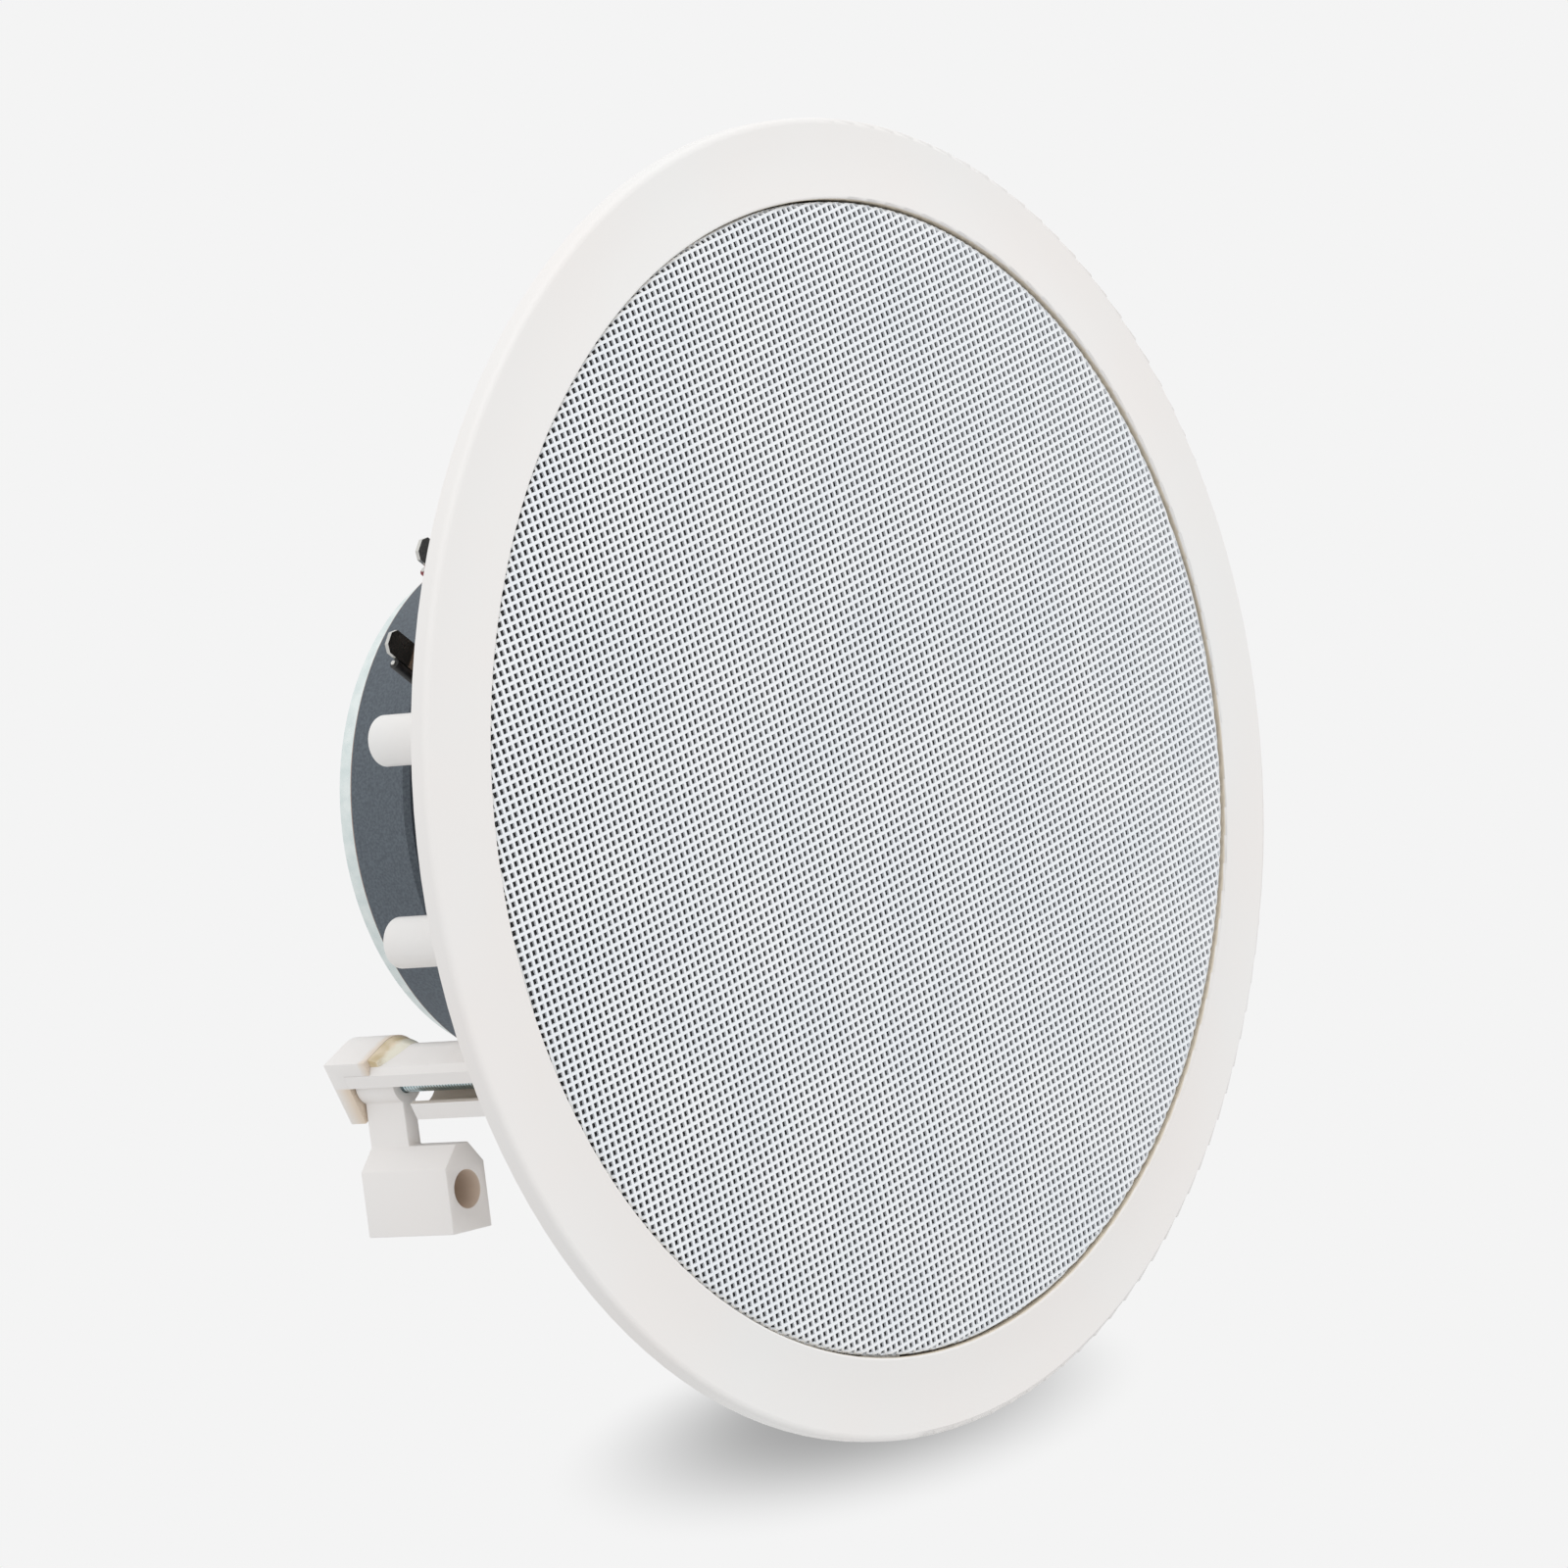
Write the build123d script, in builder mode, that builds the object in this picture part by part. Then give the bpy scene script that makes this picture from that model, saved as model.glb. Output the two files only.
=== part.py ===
from build123d import *
import os
from math import cos, hypot, radians, sin

# Round in-ceiling loudspeaker: a white bezel with a domed perforated grille, three swing-out
# ceiling clamps and a moving-coil driver with a ferrite ring magnet.
# Millimetres. X is to the right and Z up as seen from the room, Y points into the ceiling void.
# The origin is the centre of the flange's back face, which lies on the ceiling at Y = 0.

# Driver basket, pressed from sheet steel
basket_wall_radius = 73.0
basket_sheet = 1.2
basket_flange_width = 10.0
basket_depth = 55.5
basket_waist_drop = 8.0
basket_waist_inset = 1.5
shelf_depth = 42.2
shelf_outer_radius = 57.0
shelf_width = 9.0
basket_neck_draft = 2.0
window_count = 8
window_width = 23.0
window_height = 25.0
window_corner = 5.0

# Magnet system
coil_radius = 12.75
pole_gap = 0.85
coil_gap = 0.6
front_plate_radius = 47.0
front_plate_thickness = 6.0
magnet_radius = 50.0
magnet_hole_radius = 30.0
magnet_thickness = 15.0
back_plate_radius = 47.5
back_plate_thickness = 4.8
plate_chamfer = 0.8
magnet_chamfer = 1.0

# Cone, coil and suspension
former_thickness = 0.2
winding_thickness = 0.6
winding_length = 12.0
former_overhang = 0.8
glue_gap = 0.05
cone_thickness = 0.8
cone_lip_width = 2.6
surround_thickness = 0.8
surround_roll_width = 8.8
surround_lip_width = 5.0
spider_thickness = 0.6
spider_waves = 5
spider_wave_height = 1.3
spider_margin = 4.0
neck_gap = 2.0
dust_cap_radius = 20.0
dust_cap_height = 7.0
dust_cap_thickness = 0.6
gasket_thickness = 2.0

# Baffle and its screws
baffle_depth = 5.0
baffle_thickness = 3.5
opening_clearance = 1.0
opening_rim_width = 3.0
opening_rim_height = 2.0
rib_count = 12
rib_width = 1.6
rib_height = 3.0
driver_screw_count = 4
driver_screw_radius = 1.45
driver_screw_length = 9.0
driver_screw_head_radius = 2.8
driver_screw_head_height = 2.0
driver_screw_edge = 3.2
driver_boss_radius = 3.5
driver_boss_height = 6.0
screw_hole_clearance = 0.1

# Two plain posts for an accessory bracket, left of the magnet
post_radius = 4.7
post_height = 31.8
post_margin = 10.0
post_heights_z = (13.2, -23.4)
post_pilot_radius = 1.25
post_pilot_depth = 14.0
post_edge = 0.5

# Ceiling clamps
clamp_sides = ("top", "left", "right")
clamp_first_angle = 90.0
clamp_spacing = 14.0
column_length = 42.2
column_front = 4.7
column_radial_depth = 12.6
column_stop_side = 5.6
column_swing_side = 5.3
column_chamfer = 1.2
column_bore_radius = 4.2
column_slot = 3.8
column_cut_behind = 7.2
column_cut_margin = 3.2
gusset_thickness = 1.6
gusset_foot = 6.0
gusset_height = 8.0
clamp_screw_radius = 1.95
clamp_screw_head_radius = 4.0
clamp_screw_head_height = 2.6
clamp_screw_hole_clearance = 0.25
clamp_screw_tip = 1.0
cross_slot_length = 4.4
cross_slot_width = 1.0
cross_slot_depth = 1.4
cap_wall = 1.6
cap_clearance = 0.05
cap_end = 3.8
cap_hood_length = 6.3
cap_skirt_lip = 0.4
cap_edge = 0.3
dog_bore_clearance = 0.1
dog_boss_clearance = 0.25
dog_end_gap = 0.4
dog_arm_height = 9.2
dog_arm_width = 3.4
dog_foot_height = 20.5
dog_foot_width = 10.6
dog_foot_start = 11.6
dog_foot_shoulder = 15.6
dog_foot_end = 27.6
dog_core_radius = 3.5
dog_core_depth = 14.0
dog_core_at = 20.0
dog_stowed_angle = 130.0
dog_part_swung_angle = 64.5

# Terminal strip on the basket
terminal_angle = 148.5
terminal_tab_width = 14.0
terminal_tab_length = 10.0
board_width = 26.0
board_length = 9.0
board_thickness = 1.6
board_inset = 3.0
blade_width = 4.8
blade_thickness = 0.8
blade_reach = 8.2
blade_spacing = 19.6
blade_tip_chamfer = 1.2
rivet_radius = 1.25
rivet_head_radius = 2.2
rivet_head_height = 0.8
rivet_inset = 4.0
lead_radius = 0.6
lead_spread = 12.0
lead_cone_radius = 30.0
lead_rise = 6.0
lead_slope = 2.0
lead_bend = 3.0

# Bezel trim and collar
collar_margin = 4.2
ledge_width = 1.2
ledge_depth = 2.0
collar_wall = 3.7
flange_overhang = 11.7
rim_thickness = 3.5
rim_edge_radius = 1.2
face_rise = 1.9
face_bulge = 0.45
lip_edge_radius = 0.5

# Grille sheet
grille_clearance = 0.4
grille_thickness = 0.5
grille_set_back = 0.71
grille_crown_square = 0.87
grille_crown_fourth = 2.74
grille_crown_steps = 3
grille_bend_radius = 0.8
grille_seat_gap = 0.3
grille_lattice_turn = 16.5
grille_gap_pitch = 16.8
grille_gap_size = 10.0
grille_solid_edge = 4.0
scrim_thickness = 0.4

# Depths along Y, from the driver's seat on the baffle
baffle_front = baffle_depth
baffle_back = baffle_front + baffle_thickness
flange_front = baffle_front - basket_sheet
lip_front = flange_front - surround_thickness
shelf_back = baffle_front + shelf_depth
shelf_front = shelf_back - basket_sheet
basket_back = baffle_front + basket_depth
front_plate_back = basket_back + front_plate_thickness
magnet_back = front_plate_back + magnet_thickness
back_plate_back = magnet_back + back_plate_thickness
cone_neck = shelf_front - neck_gap
winding_middle = basket_back + front_plate_thickness / 2
column_end = baffle_back + column_length
dog_back = column_end - dog_end_gap
dog_arm_front = dog_back - dog_arm_height
dog_foot_front = dog_back - dog_foot_height
cap_back = column_end + cap_end
lip_height = rim_thickness + face_rise

# Radii outwards from the driver
opening_radius = basket_wall_radius + opening_clearance
flange_radius = basket_wall_radius + basket_flange_width
driver_screw_circle = flange_radius - driver_screw_edge
clamp_radius = flange_radius + clamp_spacing
ledge_radius = clamp_radius + column_front + collar_margin
recess_radius = ledge_radius + ledge_width
grille_radius = recess_radius - grille_clearance
collar_radius = recess_radius + collar_wall
bezel_radius = collar_radius + flange_overhang
former_outer_radius = coil_radius + former_thickness
winding_outer_radius = former_outer_radius + winding_thickness
gap_outer_radius = winding_outer_radius + coil_gap
pole_radius = coil_radius - pole_gap
shelf_inner_radius = shelf_outer_radius - shelf_width
surround_outer_radius = basket_wall_radius - basket_waist_inset
cone_radius = surround_outer_radius - surround_roll_width
post_x = -(opening_radius + post_margin)
board_start = shelf_outer_radius + board_inset
rivet_place = board_start + rivet_inset
dog_boss_radius = column_bore_radius - dog_boss_clearance

# Clamps by side: where each sits round the bezel, and how far its dog stands from straight out
clamp_angles = {side: clamp_first_angle + place * 360 / len(clamp_sides)
                for place, side in enumerate(clamp_sides)}
dog_angles = {side: dog_stowed_angle for side in clamp_sides}
dog_angles["left"] = dog_part_swung_angle

os.makedirs("parts", exist_ok=True)


def save(piece, name):
    """Label a finished piece and write it."""
    piece.part.label = name
    export_step(piece.part, f"parts/{name}.step")


def across(depth):
    """Plane square to the speaker's axis at a depth behind the ceiling, facing the room."""
    return Plane.XZ.offset(-depth)


def turned(angle, depth, radius=0.0, turn=0.0):
    """Plane facing the room at a polar position, with its x axis outwards, turned by a further angle."""
    place = radians(angle)
    heading = radians(angle + turn)
    return Plane(
        origin=(radius * cos(place), depth, radius * sin(place)),
        x_dir=(cos(heading), 0, sin(heading)),
        z_dir=(0, -1, 0),
    )


def clamp_plane(angle, depth, turn=0.0):
    """Plane on a clamp screw's axis: x outwards, y along the way its dog swings."""
    return turned(angle, depth, clamp_radius, turn)


def column_outline(grow=0.0, corner=column_chamfer):
    """Clamp column seen along its screw: flat outside with a cut corner on the stop side, round behind."""
    back_radius = (column_stop_side + column_swing_side) / 2
    back_middle = (column_swing_side - column_stop_side) / 2
    back_start = column_front - column_radial_depth + back_radius
    with BuildSketch() as outline:
        with BuildLine():
            Polyline(
                (back_start, column_swing_side),
                (column_front, column_swing_side),
                (column_front, -column_stop_side),
                (back_start, -column_stop_side),
            )
            ThreePointArc(
                (back_start, -column_stop_side),
                (back_start - back_radius, back_middle),
                (back_start, column_swing_side),
            )
        make_face()
        if grow:
            offset(amount=grow, kind=Kind.INTERSECTION)
        if corner:
            stop_corner = (column_front + grow, -column_stop_side - grow)
            chamfer(outline.vertices().sort_by_distance(stop_corner)[0], length=corner)
    return outline.sketch


def swing_room():
    """Room beside the screw, on the side to which the dog swings."""
    width = column_front + column_cut_behind + 2 * cap_wall
    height = column_swing_side + column_slot / 2 + 2 * cap_wall
    with BuildSketch() as room:
        with Locations((-column_cut_behind, -column_slot / 2)):
            Rectangle(width, height, align=(Align.MIN, Align.MIN))
    return room.sketch


# Bezel: one moulding of trim flange, collar, baffle, clamp columns, screw bosses and posts
with BuildPart() as bezel:
    with BuildSketch() as bezel_section:
        with BuildLine():
            Line((bezel_radius, 0), (bezel_radius, -rim_thickness))
            SagittaArc((bezel_radius, -rim_thickness), (recess_radius, -lip_height), -face_bulge)
            Polyline(
                (recess_radius, -lip_height),
                (recess_radius, ledge_depth),
                (ledge_radius, ledge_depth),
                (ledge_radius, baffle_front),
                (opening_radius, baffle_front),
                (opening_radius, baffle_back + opening_rim_height),
                (opening_radius + opening_rim_width, baffle_back + opening_rim_height),
                (opening_radius + opening_rim_width, baffle_back),
                (collar_radius, baffle_back),
                (collar_radius, 0),
                (bezel_radius, 0),
            )
        make_face()
        corners = bezel_section.vertices()
        fillet(corners.sort_by_distance((bezel_radius, -rim_thickness))[0], radius=rim_edge_radius)
        corners = bezel_section.vertices()
        fillet(corners.sort_by_distance((recess_radius, -lip_height))[0], radius=lip_edge_radius)
    revolve(axis=Axis.Y)

    # stiffening ribs behind the baffle
    rib_start = opening_radius + opening_rim_width / 2
    with BuildSketch(across(baffle_back + rib_height)):
        with PolarLocations((rib_start + ledge_radius) / 2, rib_count, 180 / rib_count):
            Rectangle(ledge_radius - rib_start, rib_width)
    extrude(amount=rib_height)

    # bosses for the driver screws, and their pilot holes
    with BuildSketch(across(baffle_back + driver_boss_height)):
        with PolarLocations(driver_screw_circle, driver_screw_count, 180 / driver_screw_count):
            Circle(driver_boss_radius)
    extrude(amount=driver_boss_height)
    with BuildSketch(across(flange_front + driver_screw_length + screw_hole_clearance)):
        with PolarLocations(driver_screw_circle, driver_screw_count, 180 / driver_screw_count):
            Circle(driver_screw_radius + screw_hole_clearance)
    extrude(amount=driver_screw_length, mode=Mode.SUBTRACT)

    # posts with pilot holes in their ends
    post_end = baffle_back + post_height
    post_places = [(post_x, height) for height in post_heights_z]
    with BuildSketch(across(post_end)):
        with Locations(*post_places):
            Circle(post_radius)
    extrude(amount=post_height)
    fillet(bezel.edges().filter_by_position(Axis.Y, post_end, post_end), radius=post_edge)
    with BuildSketch(across(post_end)):
        with Locations(*post_places):
            Circle(post_pilot_radius)
    extrude(amount=post_pilot_depth, mode=Mode.SUBTRACT)

    # clamp columns: a channel around each screw, open outwards and cut away where the dog swings
    for angle in clamp_angles.values():
        with BuildSketch(clamp_plane(angle, column_end)):
            add(column_outline())
        extrude(amount=column_length)
        gusset_plane = Plane(
            origin=clamp_plane(angle, baffle_back).from_local_coords((-column_cut_behind, 0, 0)),
            x_dir=clamp_plane(angle, 0).y_dir,
            z_dir=-clamp_plane(angle, 0).x_dir,
        )
        with BuildSketch(gusset_plane):
            with BuildLine():
                Polyline(
                    (-column_stop_side - gusset_foot, 0),
                    (column_swing_side + gusset_foot, 0),
                    (column_swing_side, gusset_height),
                    (-column_stop_side, gusset_height),
                    close=True,
                )
            make_face()
        extrude(amount=gusset_thickness)
        with BuildSketch(clamp_plane(angle, column_end)):
            Circle(column_bore_radius)
            Rectangle(2 * column_front, column_slot, align=(Align.MIN, Align.CENTER))
        extrude(amount=column_length, mode=Mode.SUBTRACT)
        with BuildSketch(clamp_plane(angle, column_end)):
            add(swing_room())
        extrude(amount=column_end - dog_arm_front + column_cut_margin, mode=Mode.SUBTRACT)
        with BuildSketch(clamp_plane(angle, baffle_back)):
            Circle(clamp_screw_radius + clamp_screw_hole_clearance)
        extrude(amount=baffle_thickness, mode=Mode.SUBTRACT)
save(bezel, "bezel")


# Ceiling clamps: screw, swinging dog and glued end cap on each column
for side, angle in clamp_angles.items():
    with BuildPart() as clamp_screw:
        with BuildSketch(clamp_plane(angle, baffle_front)):
            Circle(clamp_screw_head_radius)
        extrude(amount=clamp_screw_head_height)
        head_front = baffle_front - clamp_screw_head_height
        fillet(clamp_screw.edges().sort_by(Axis.Y)[0], radius=clamp_screw_head_height / 2)
        with BuildSketch(clamp_plane(angle, column_end + clamp_screw_tip)):
            Circle(clamp_screw_radius)
        extrude(amount=column_end + clamp_screw_tip - baffle_front)
        with BuildSketch(clamp_plane(angle, head_front)):
            Rectangle(cross_slot_length, cross_slot_width)
            Rectangle(cross_slot_width, cross_slot_length)
        extrude(amount=-cross_slot_depth, mode=Mode.SUBTRACT)
    save(clamp_screw, f"clamp_screw_{side}")

    with BuildPart() as clamp_dog:
        dog_plane = clamp_plane(angle, dog_back, dog_angles[side])
        with BuildSketch(dog_plane):
            Circle(dog_boss_radius)
            Rectangle(dog_foot_start, dog_arm_width, align=(Align.MIN, Align.CENTER))
        extrude(amount=dog_arm_height)
        with BuildSketch(dog_plane):
            with BuildLine():
                Polyline(
                    (dog_foot_start, -dog_arm_width / 2),
                    (dog_foot_shoulder, -dog_foot_width / 2),
                    (dog_foot_end, -dog_foot_width / 2),
                    (dog_foot_end, dog_foot_width / 2),
                    (dog_foot_shoulder, dog_foot_width / 2),
                    (dog_foot_start, dog_arm_width / 2),
                    close=True,
                )
            make_face()
        extrude(amount=dog_foot_height)
        with BuildSketch(dog_plane):
            Circle(clamp_screw_radius + dog_bore_clearance)
        extrude(amount=dog_arm_height, mode=Mode.SUBTRACT)
        with BuildSketch(clamp_plane(angle, dog_foot_front + dog_core_depth, dog_angles[side])):
            with Locations((dog_core_at, 0)):
                Circle(dog_core_radius)
        extrude(amount=dog_core_depth, mode=Mode.SUBTRACT)
    save(clamp_dog, f"clamp_dog_{side}")

    with BuildPart() as clamp_cap:
        # square-cornered hood, flush with the column's outside and a little proud where the dog swings
        with BuildSketch(clamp_plane(angle, cap_back)):
            add(column_outline(cap_clearance + cap_wall, corner=0))
            with Locations((0, column_swing_side + cap_skirt_lip)):
                Rectangle(4 * column_radial_depth, 2 * cap_wall, align=(Align.CENTER, Align.MIN),
                          mode=Mode.SUBTRACT)
            with Locations((column_front, 0)):
                Rectangle(2 * cap_wall, 4 * column_radial_depth, align=(Align.MIN, Align.CENTER),
                          mode=Mode.SUBTRACT)
        extrude(amount=cap_end + cap_hood_length)
        chamfer(clamp_cap.faces().sort_by(Axis.Y)[-1].edges(), length=cap_edge)
        with BuildSketch(clamp_plane(angle, column_end)):
            add(column_outline(cap_clearance))
            add(swing_room())
        extrude(amount=cap_hood_length, mode=Mode.SUBTRACT)
        with BuildSketch(clamp_plane(angle, column_end + clamp_screw_tip + cap_clearance)):
            Circle(clamp_screw_radius + dog_bore_clearance)
        extrude(amount=clamp_screw_tip + cap_clearance, mode=Mode.SUBTRACT)
    save(clamp_cap, f"clamp_cap_{side}")


# Grille: domed sheet with its edge bent back into the bezel's recess
def crown(radius):
    """Depth of the grille's outer face at a radius: flat in the middle, falling faster near the edge."""
    share = radius / grille_radius
    edge_depth = grille_set_back - lip_height
    fall = grille_crown_square * share ** 2 + grille_crown_fourth * share ** 4
    return edge_depth - grille_crown_square - grille_crown_fourth + fall


with BuildPart() as grille:
    bend_start = grille_radius - grille_bend_radius
    dome_radii = [bend_start * step / grille_crown_steps for step in range(grille_crown_steps + 1)]
    edge_end = ledge_depth - grille_seat_gap
    bend_front = crown(bend_start)
    inner_radius = grille_radius - grille_thickness
    with BuildSketch():
        with BuildLine():
            Spline(*[(radius, crown(radius)) for radius in dome_radii])
            RadiusArc((bend_start, bend_front), (grille_radius, bend_front + grille_bend_radius),
                      -grille_bend_radius)
            Polyline(
                (grille_radius, bend_front + grille_bend_radius),
                (grille_radius, edge_end),
                (inner_radius, edge_end),
                (inner_radius, bend_front + grille_bend_radius),
            )
            RadiusArc((inner_radius, bend_front + grille_bend_radius),
                      (bend_start, bend_front + grille_thickness), grille_bend_radius - grille_thickness)
            Spline(*[(radius, crown(radius) + grille_thickness) for radius in reversed(dome_radii)])
            Line((0, crown(0) + grille_thickness), (0, crown(0)))
        make_face()
    revolve(axis=Axis.Y)
    # square gaps on a turned square lattice
    gap_half_diagonal = hypot(grille_gap_size, grille_gap_size) / 2
    field = bend_start - grille_solid_edge - gap_half_diagonal
    span = int(field / grille_gap_pitch)
    steps = [step * grille_gap_pitch for step in range(-span, span + 1)]
    gap_places = [(x, y) for x in steps for y in steps if hypot(x, y) <= field]
    with BuildSketch(turned(grille_lattice_turn, edge_end)):
        with Locations(*gap_places):
            Rectangle(grille_gap_size, grille_gap_size)
    extrude(amount=edge_end - 2 * crown(0), mode=Mode.SUBTRACT)
save(grille, "grille")

# Scrim: black cloth glued behind the sheet
with BuildPart() as grille_scrim:
    scrim_front = grille_thickness + glue_gap
    scrim_back = scrim_front + scrim_thickness
    with BuildSketch():
        with BuildLine():
            Spline(*[(radius, crown(radius) + scrim_front) for radius in dome_radii])
            Line((bend_start, bend_front + scrim_front), (bend_start, bend_front + scrim_back))
            Spline(*[(radius, crown(radius) + scrim_back) for radius in reversed(dome_radii)])
            Line((0, crown(0) + scrim_back), (0, crown(0) + scrim_front))
        make_face()
    revolve(axis=Axis.Y)
save(grille_scrim, "grille_scrim")


# Basket: flange, windowed side, spider shelf, neck and bottom, with a tab for the terminals
with BuildPart() as basket:
    waist_radius = basket_wall_radius - basket_waist_inset
    waist_depth = baffle_front + basket_waist_drop
    neck_radius = shelf_inner_radius - basket_neck_draft
    with BuildSketch():
        with BuildLine():
            Polyline(
                (flange_radius, baffle_front),
                (basket_wall_radius, baffle_front),
                (waist_radius, waist_depth),
                (shelf_outer_radius, shelf_back),
                (shelf_inner_radius, shelf_back),
                (neck_radius, basket_back),
                (gap_outer_radius, basket_back),
                (gap_outer_radius, basket_back - basket_sheet),
                (neck_radius - basket_sheet, basket_back - basket_sheet),
                (shelf_inner_radius - basket_sheet, shelf_front),
                (shelf_outer_radius - basket_sheet, shelf_front),
                (waist_radius - basket_sheet, waist_depth),
                (basket_wall_radius - basket_sheet, flange_front),
                (flange_radius, flange_front),
                close=True,
            )
        make_face()
    revolve(axis=Axis.Y)
    window_depth = (waist_depth + shelf_front) / 2
    window_radius = (waist_radius + shelf_outer_radius) / 2
    window_cut = (waist_radius - shelf_outer_radius) / 2 + 4 * basket_sheet
    for window in range(window_count):
        heading = radians(terminal_angle + window * 360 / window_count)
        window_plane = Plane(
            origin=(window_radius * cos(heading), window_depth, window_radius * sin(heading)),
            x_dir=(-sin(heading), 0, cos(heading)),
            z_dir=(cos(heading), 0, sin(heading)),
        )
        with BuildSketch(window_plane):
            RectangleRounded(window_width, window_height, window_corner)
        extrude(amount=window_cut, both=True, mode=Mode.SUBTRACT)
    tab_start = shelf_outer_radius - shelf_width / 2
    with BuildSketch(turned(terminal_angle, shelf_back, tab_start)):
        Rectangle(terminal_tab_length + shelf_width / 2, terminal_tab_width,
                  align=(Align.MIN, Align.CENTER))
    extrude(amount=basket_sheet)
    with BuildSketch(across(baffle_front)):
        with PolarLocations(driver_screw_circle, driver_screw_count, 180 / driver_screw_count):
            Circle(driver_screw_radius + screw_hole_clearance)
    extrude(amount=basket_sheet, mode=Mode.SUBTRACT)
    with BuildSketch(turned(terminal_angle, shelf_back, rivet_place)):
        Circle(rivet_radius)
    extrude(amount=basket_sheet, mode=Mode.SUBTRACT)
save(basket, "basket")


# Screws that hold the basket to the baffle
with BuildPart() as driver_screws:
    with BuildSketch(across(flange_front)):
        with PolarLocations(driver_screw_circle, driver_screw_count, 180 / driver_screw_count):
            Circle(driver_screw_head_radius)
    extrude(amount=driver_screw_head_height)
    heads = driver_screws.edges().group_by(Axis.Y)[0]
    fillet(heads, radius=driver_screw_head_height / 2)
    with BuildSketch(across(flange_front + driver_screw_length)):
        with PolarLocations(driver_screw_circle, driver_screw_count, 180 / driver_screw_count):
            Circle(driver_screw_radius)
    extrude(amount=driver_screw_length)
save(driver_screws, "driver_screws")


# Magnet system: front plate, ferrite ring, and back plate with its pole
with BuildPart() as front_plate:
    with BuildSketch(across(front_plate_back)):
        Circle(front_plate_radius)
        Circle(gap_outer_radius, mode=Mode.SUBTRACT)
    extrude(amount=front_plate_thickness)
save(front_plate, "front_plate")

with BuildPart() as magnet:
    with BuildSketch(across(magnet_back)):
        Circle(magnet_radius)
        Circle(magnet_hole_radius, mode=Mode.SUBTRACT)
    extrude(amount=magnet_thickness)
    outer_edges = magnet.edges().filter_by(GeomType.CIRCLE).group_by(SortBy.RADIUS)[-1]
    chamfer(outer_edges, length=magnet_chamfer)
save(magnet, "magnet")

with BuildPart() as back_plate:
    with BuildSketch(across(back_plate_back)):
        Circle(back_plate_radius)
    extrude(amount=back_plate_thickness)
    chamfer(back_plate.edges().sort_by(Axis.Y)[-1], length=plate_chamfer)
    with BuildSketch(across(magnet_back)):
        Circle(pole_radius)
    extrude(amount=magnet_back - basket_back)
save(back_plate, "back_plate")


# Cone with its flat lip, and the dust cap on it
def cone_front(radius):
    """Depth of the cone's front face at a radius, between its lip and its neck."""
    lip_inner = cone_radius - cone_lip_width
    share = (lip_inner - radius) / (lip_inner - former_outer_radius)
    return flange_front + share * (cone_neck - flange_front)


with BuildPart() as cone:
    lip_inner = cone_radius - cone_lip_width
    neck = former_outer_radius + glue_gap
    with BuildSketch():
        with BuildLine():
            Polyline(
                (cone_radius, flange_front),
                (lip_inner, flange_front),
                (neck, cone_front(neck)),
                (neck, cone_front(neck) + cone_thickness),
                (lip_inner, flange_front + cone_thickness),
                (cone_radius, flange_front + cone_thickness),
                close=True,
            )
        make_face()
    revolve(axis=Axis.Y)
save(cone, "cone")

with BuildPart() as dust_cap:
    rim_front = cone_front(dust_cap_radius) - glue_gap
    dome_front = rim_front - dust_cap_height
    inner_rim = dust_cap_radius - dust_cap_thickness
    with BuildSketch():
        with BuildLine():
            ThreePointArc((-dust_cap_radius, rim_front), (0, dome_front), (dust_cap_radius, rim_front))
            Line((dust_cap_radius, rim_front), (inner_rim, rim_front))
            ThreePointArc((inner_rim, rim_front), (0, dome_front + dust_cap_thickness),
                          (-inner_rim, rim_front))
            Line((-inner_rim, rim_front), (-dust_cap_radius, rim_front))
        make_face()
        split(bisect_by=Plane.YZ, keep=Keep.TOP)
    revolve(axis=Axis.Y)
save(dust_cap, "dust_cap")


# Voice coil: paper former and copper winding
with BuildPart() as voice_coil_former:
    former_back = winding_middle + winding_length / 2 + former_overhang
    with BuildSketch(across(former_back)):
        Circle(former_outer_radius)
        Circle(coil_radius, mode=Mode.SUBTRACT)
    extrude(amount=former_back - cone_neck)
save(voice_coil_former, "voice_coil_former")

with BuildPart() as voice_coil_winding:
    with BuildSketch(across(winding_middle + winding_length / 2)):
        Circle(winding_outer_radius)
        Circle(former_outer_radius, mode=Mode.SUBTRACT)
    extrude(amount=winding_length)
save(voice_coil_winding, "voice_coil_winding")


# Surround: a half-round roll between the cone's lip and the basket flange
with BuildPart() as surround:
    roll_middle = (cone_radius + surround_outer_radius) / 2
    roll_outside = surround_roll_width / 2
    roll_inside = roll_outside - surround_thickness
    lip_end = surround_outer_radius + surround_lip_width
    lip_start = cone_radius - cone_lip_width
    with BuildSketch():
        with BuildLine():
            Polyline(
                (roll_middle + roll_outside, lip_front),
                (lip_end, lip_front),
                (lip_end, flange_front),
                (roll_middle + roll_inside, flange_front),
                (roll_middle + roll_inside, lip_front),
            )
            ThreePointArc((roll_middle + roll_inside, lip_front), (roll_middle, lip_front - roll_inside),
                          (roll_middle - roll_inside, lip_front))
            Polyline(
                (roll_middle - roll_inside, lip_front),
                (roll_middle - roll_inside, flange_front),
                (lip_start, flange_front),
                (lip_start, lip_front),
                (roll_middle - roll_outside, lip_front),
            )
            ThreePointArc((roll_middle - roll_outside, lip_front), (roll_middle, lip_front - roll_outside),
                          (roll_middle + roll_outside, lip_front))
        make_face()
    revolve(axis=Axis.Y)
save(surround, "surround")

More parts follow.
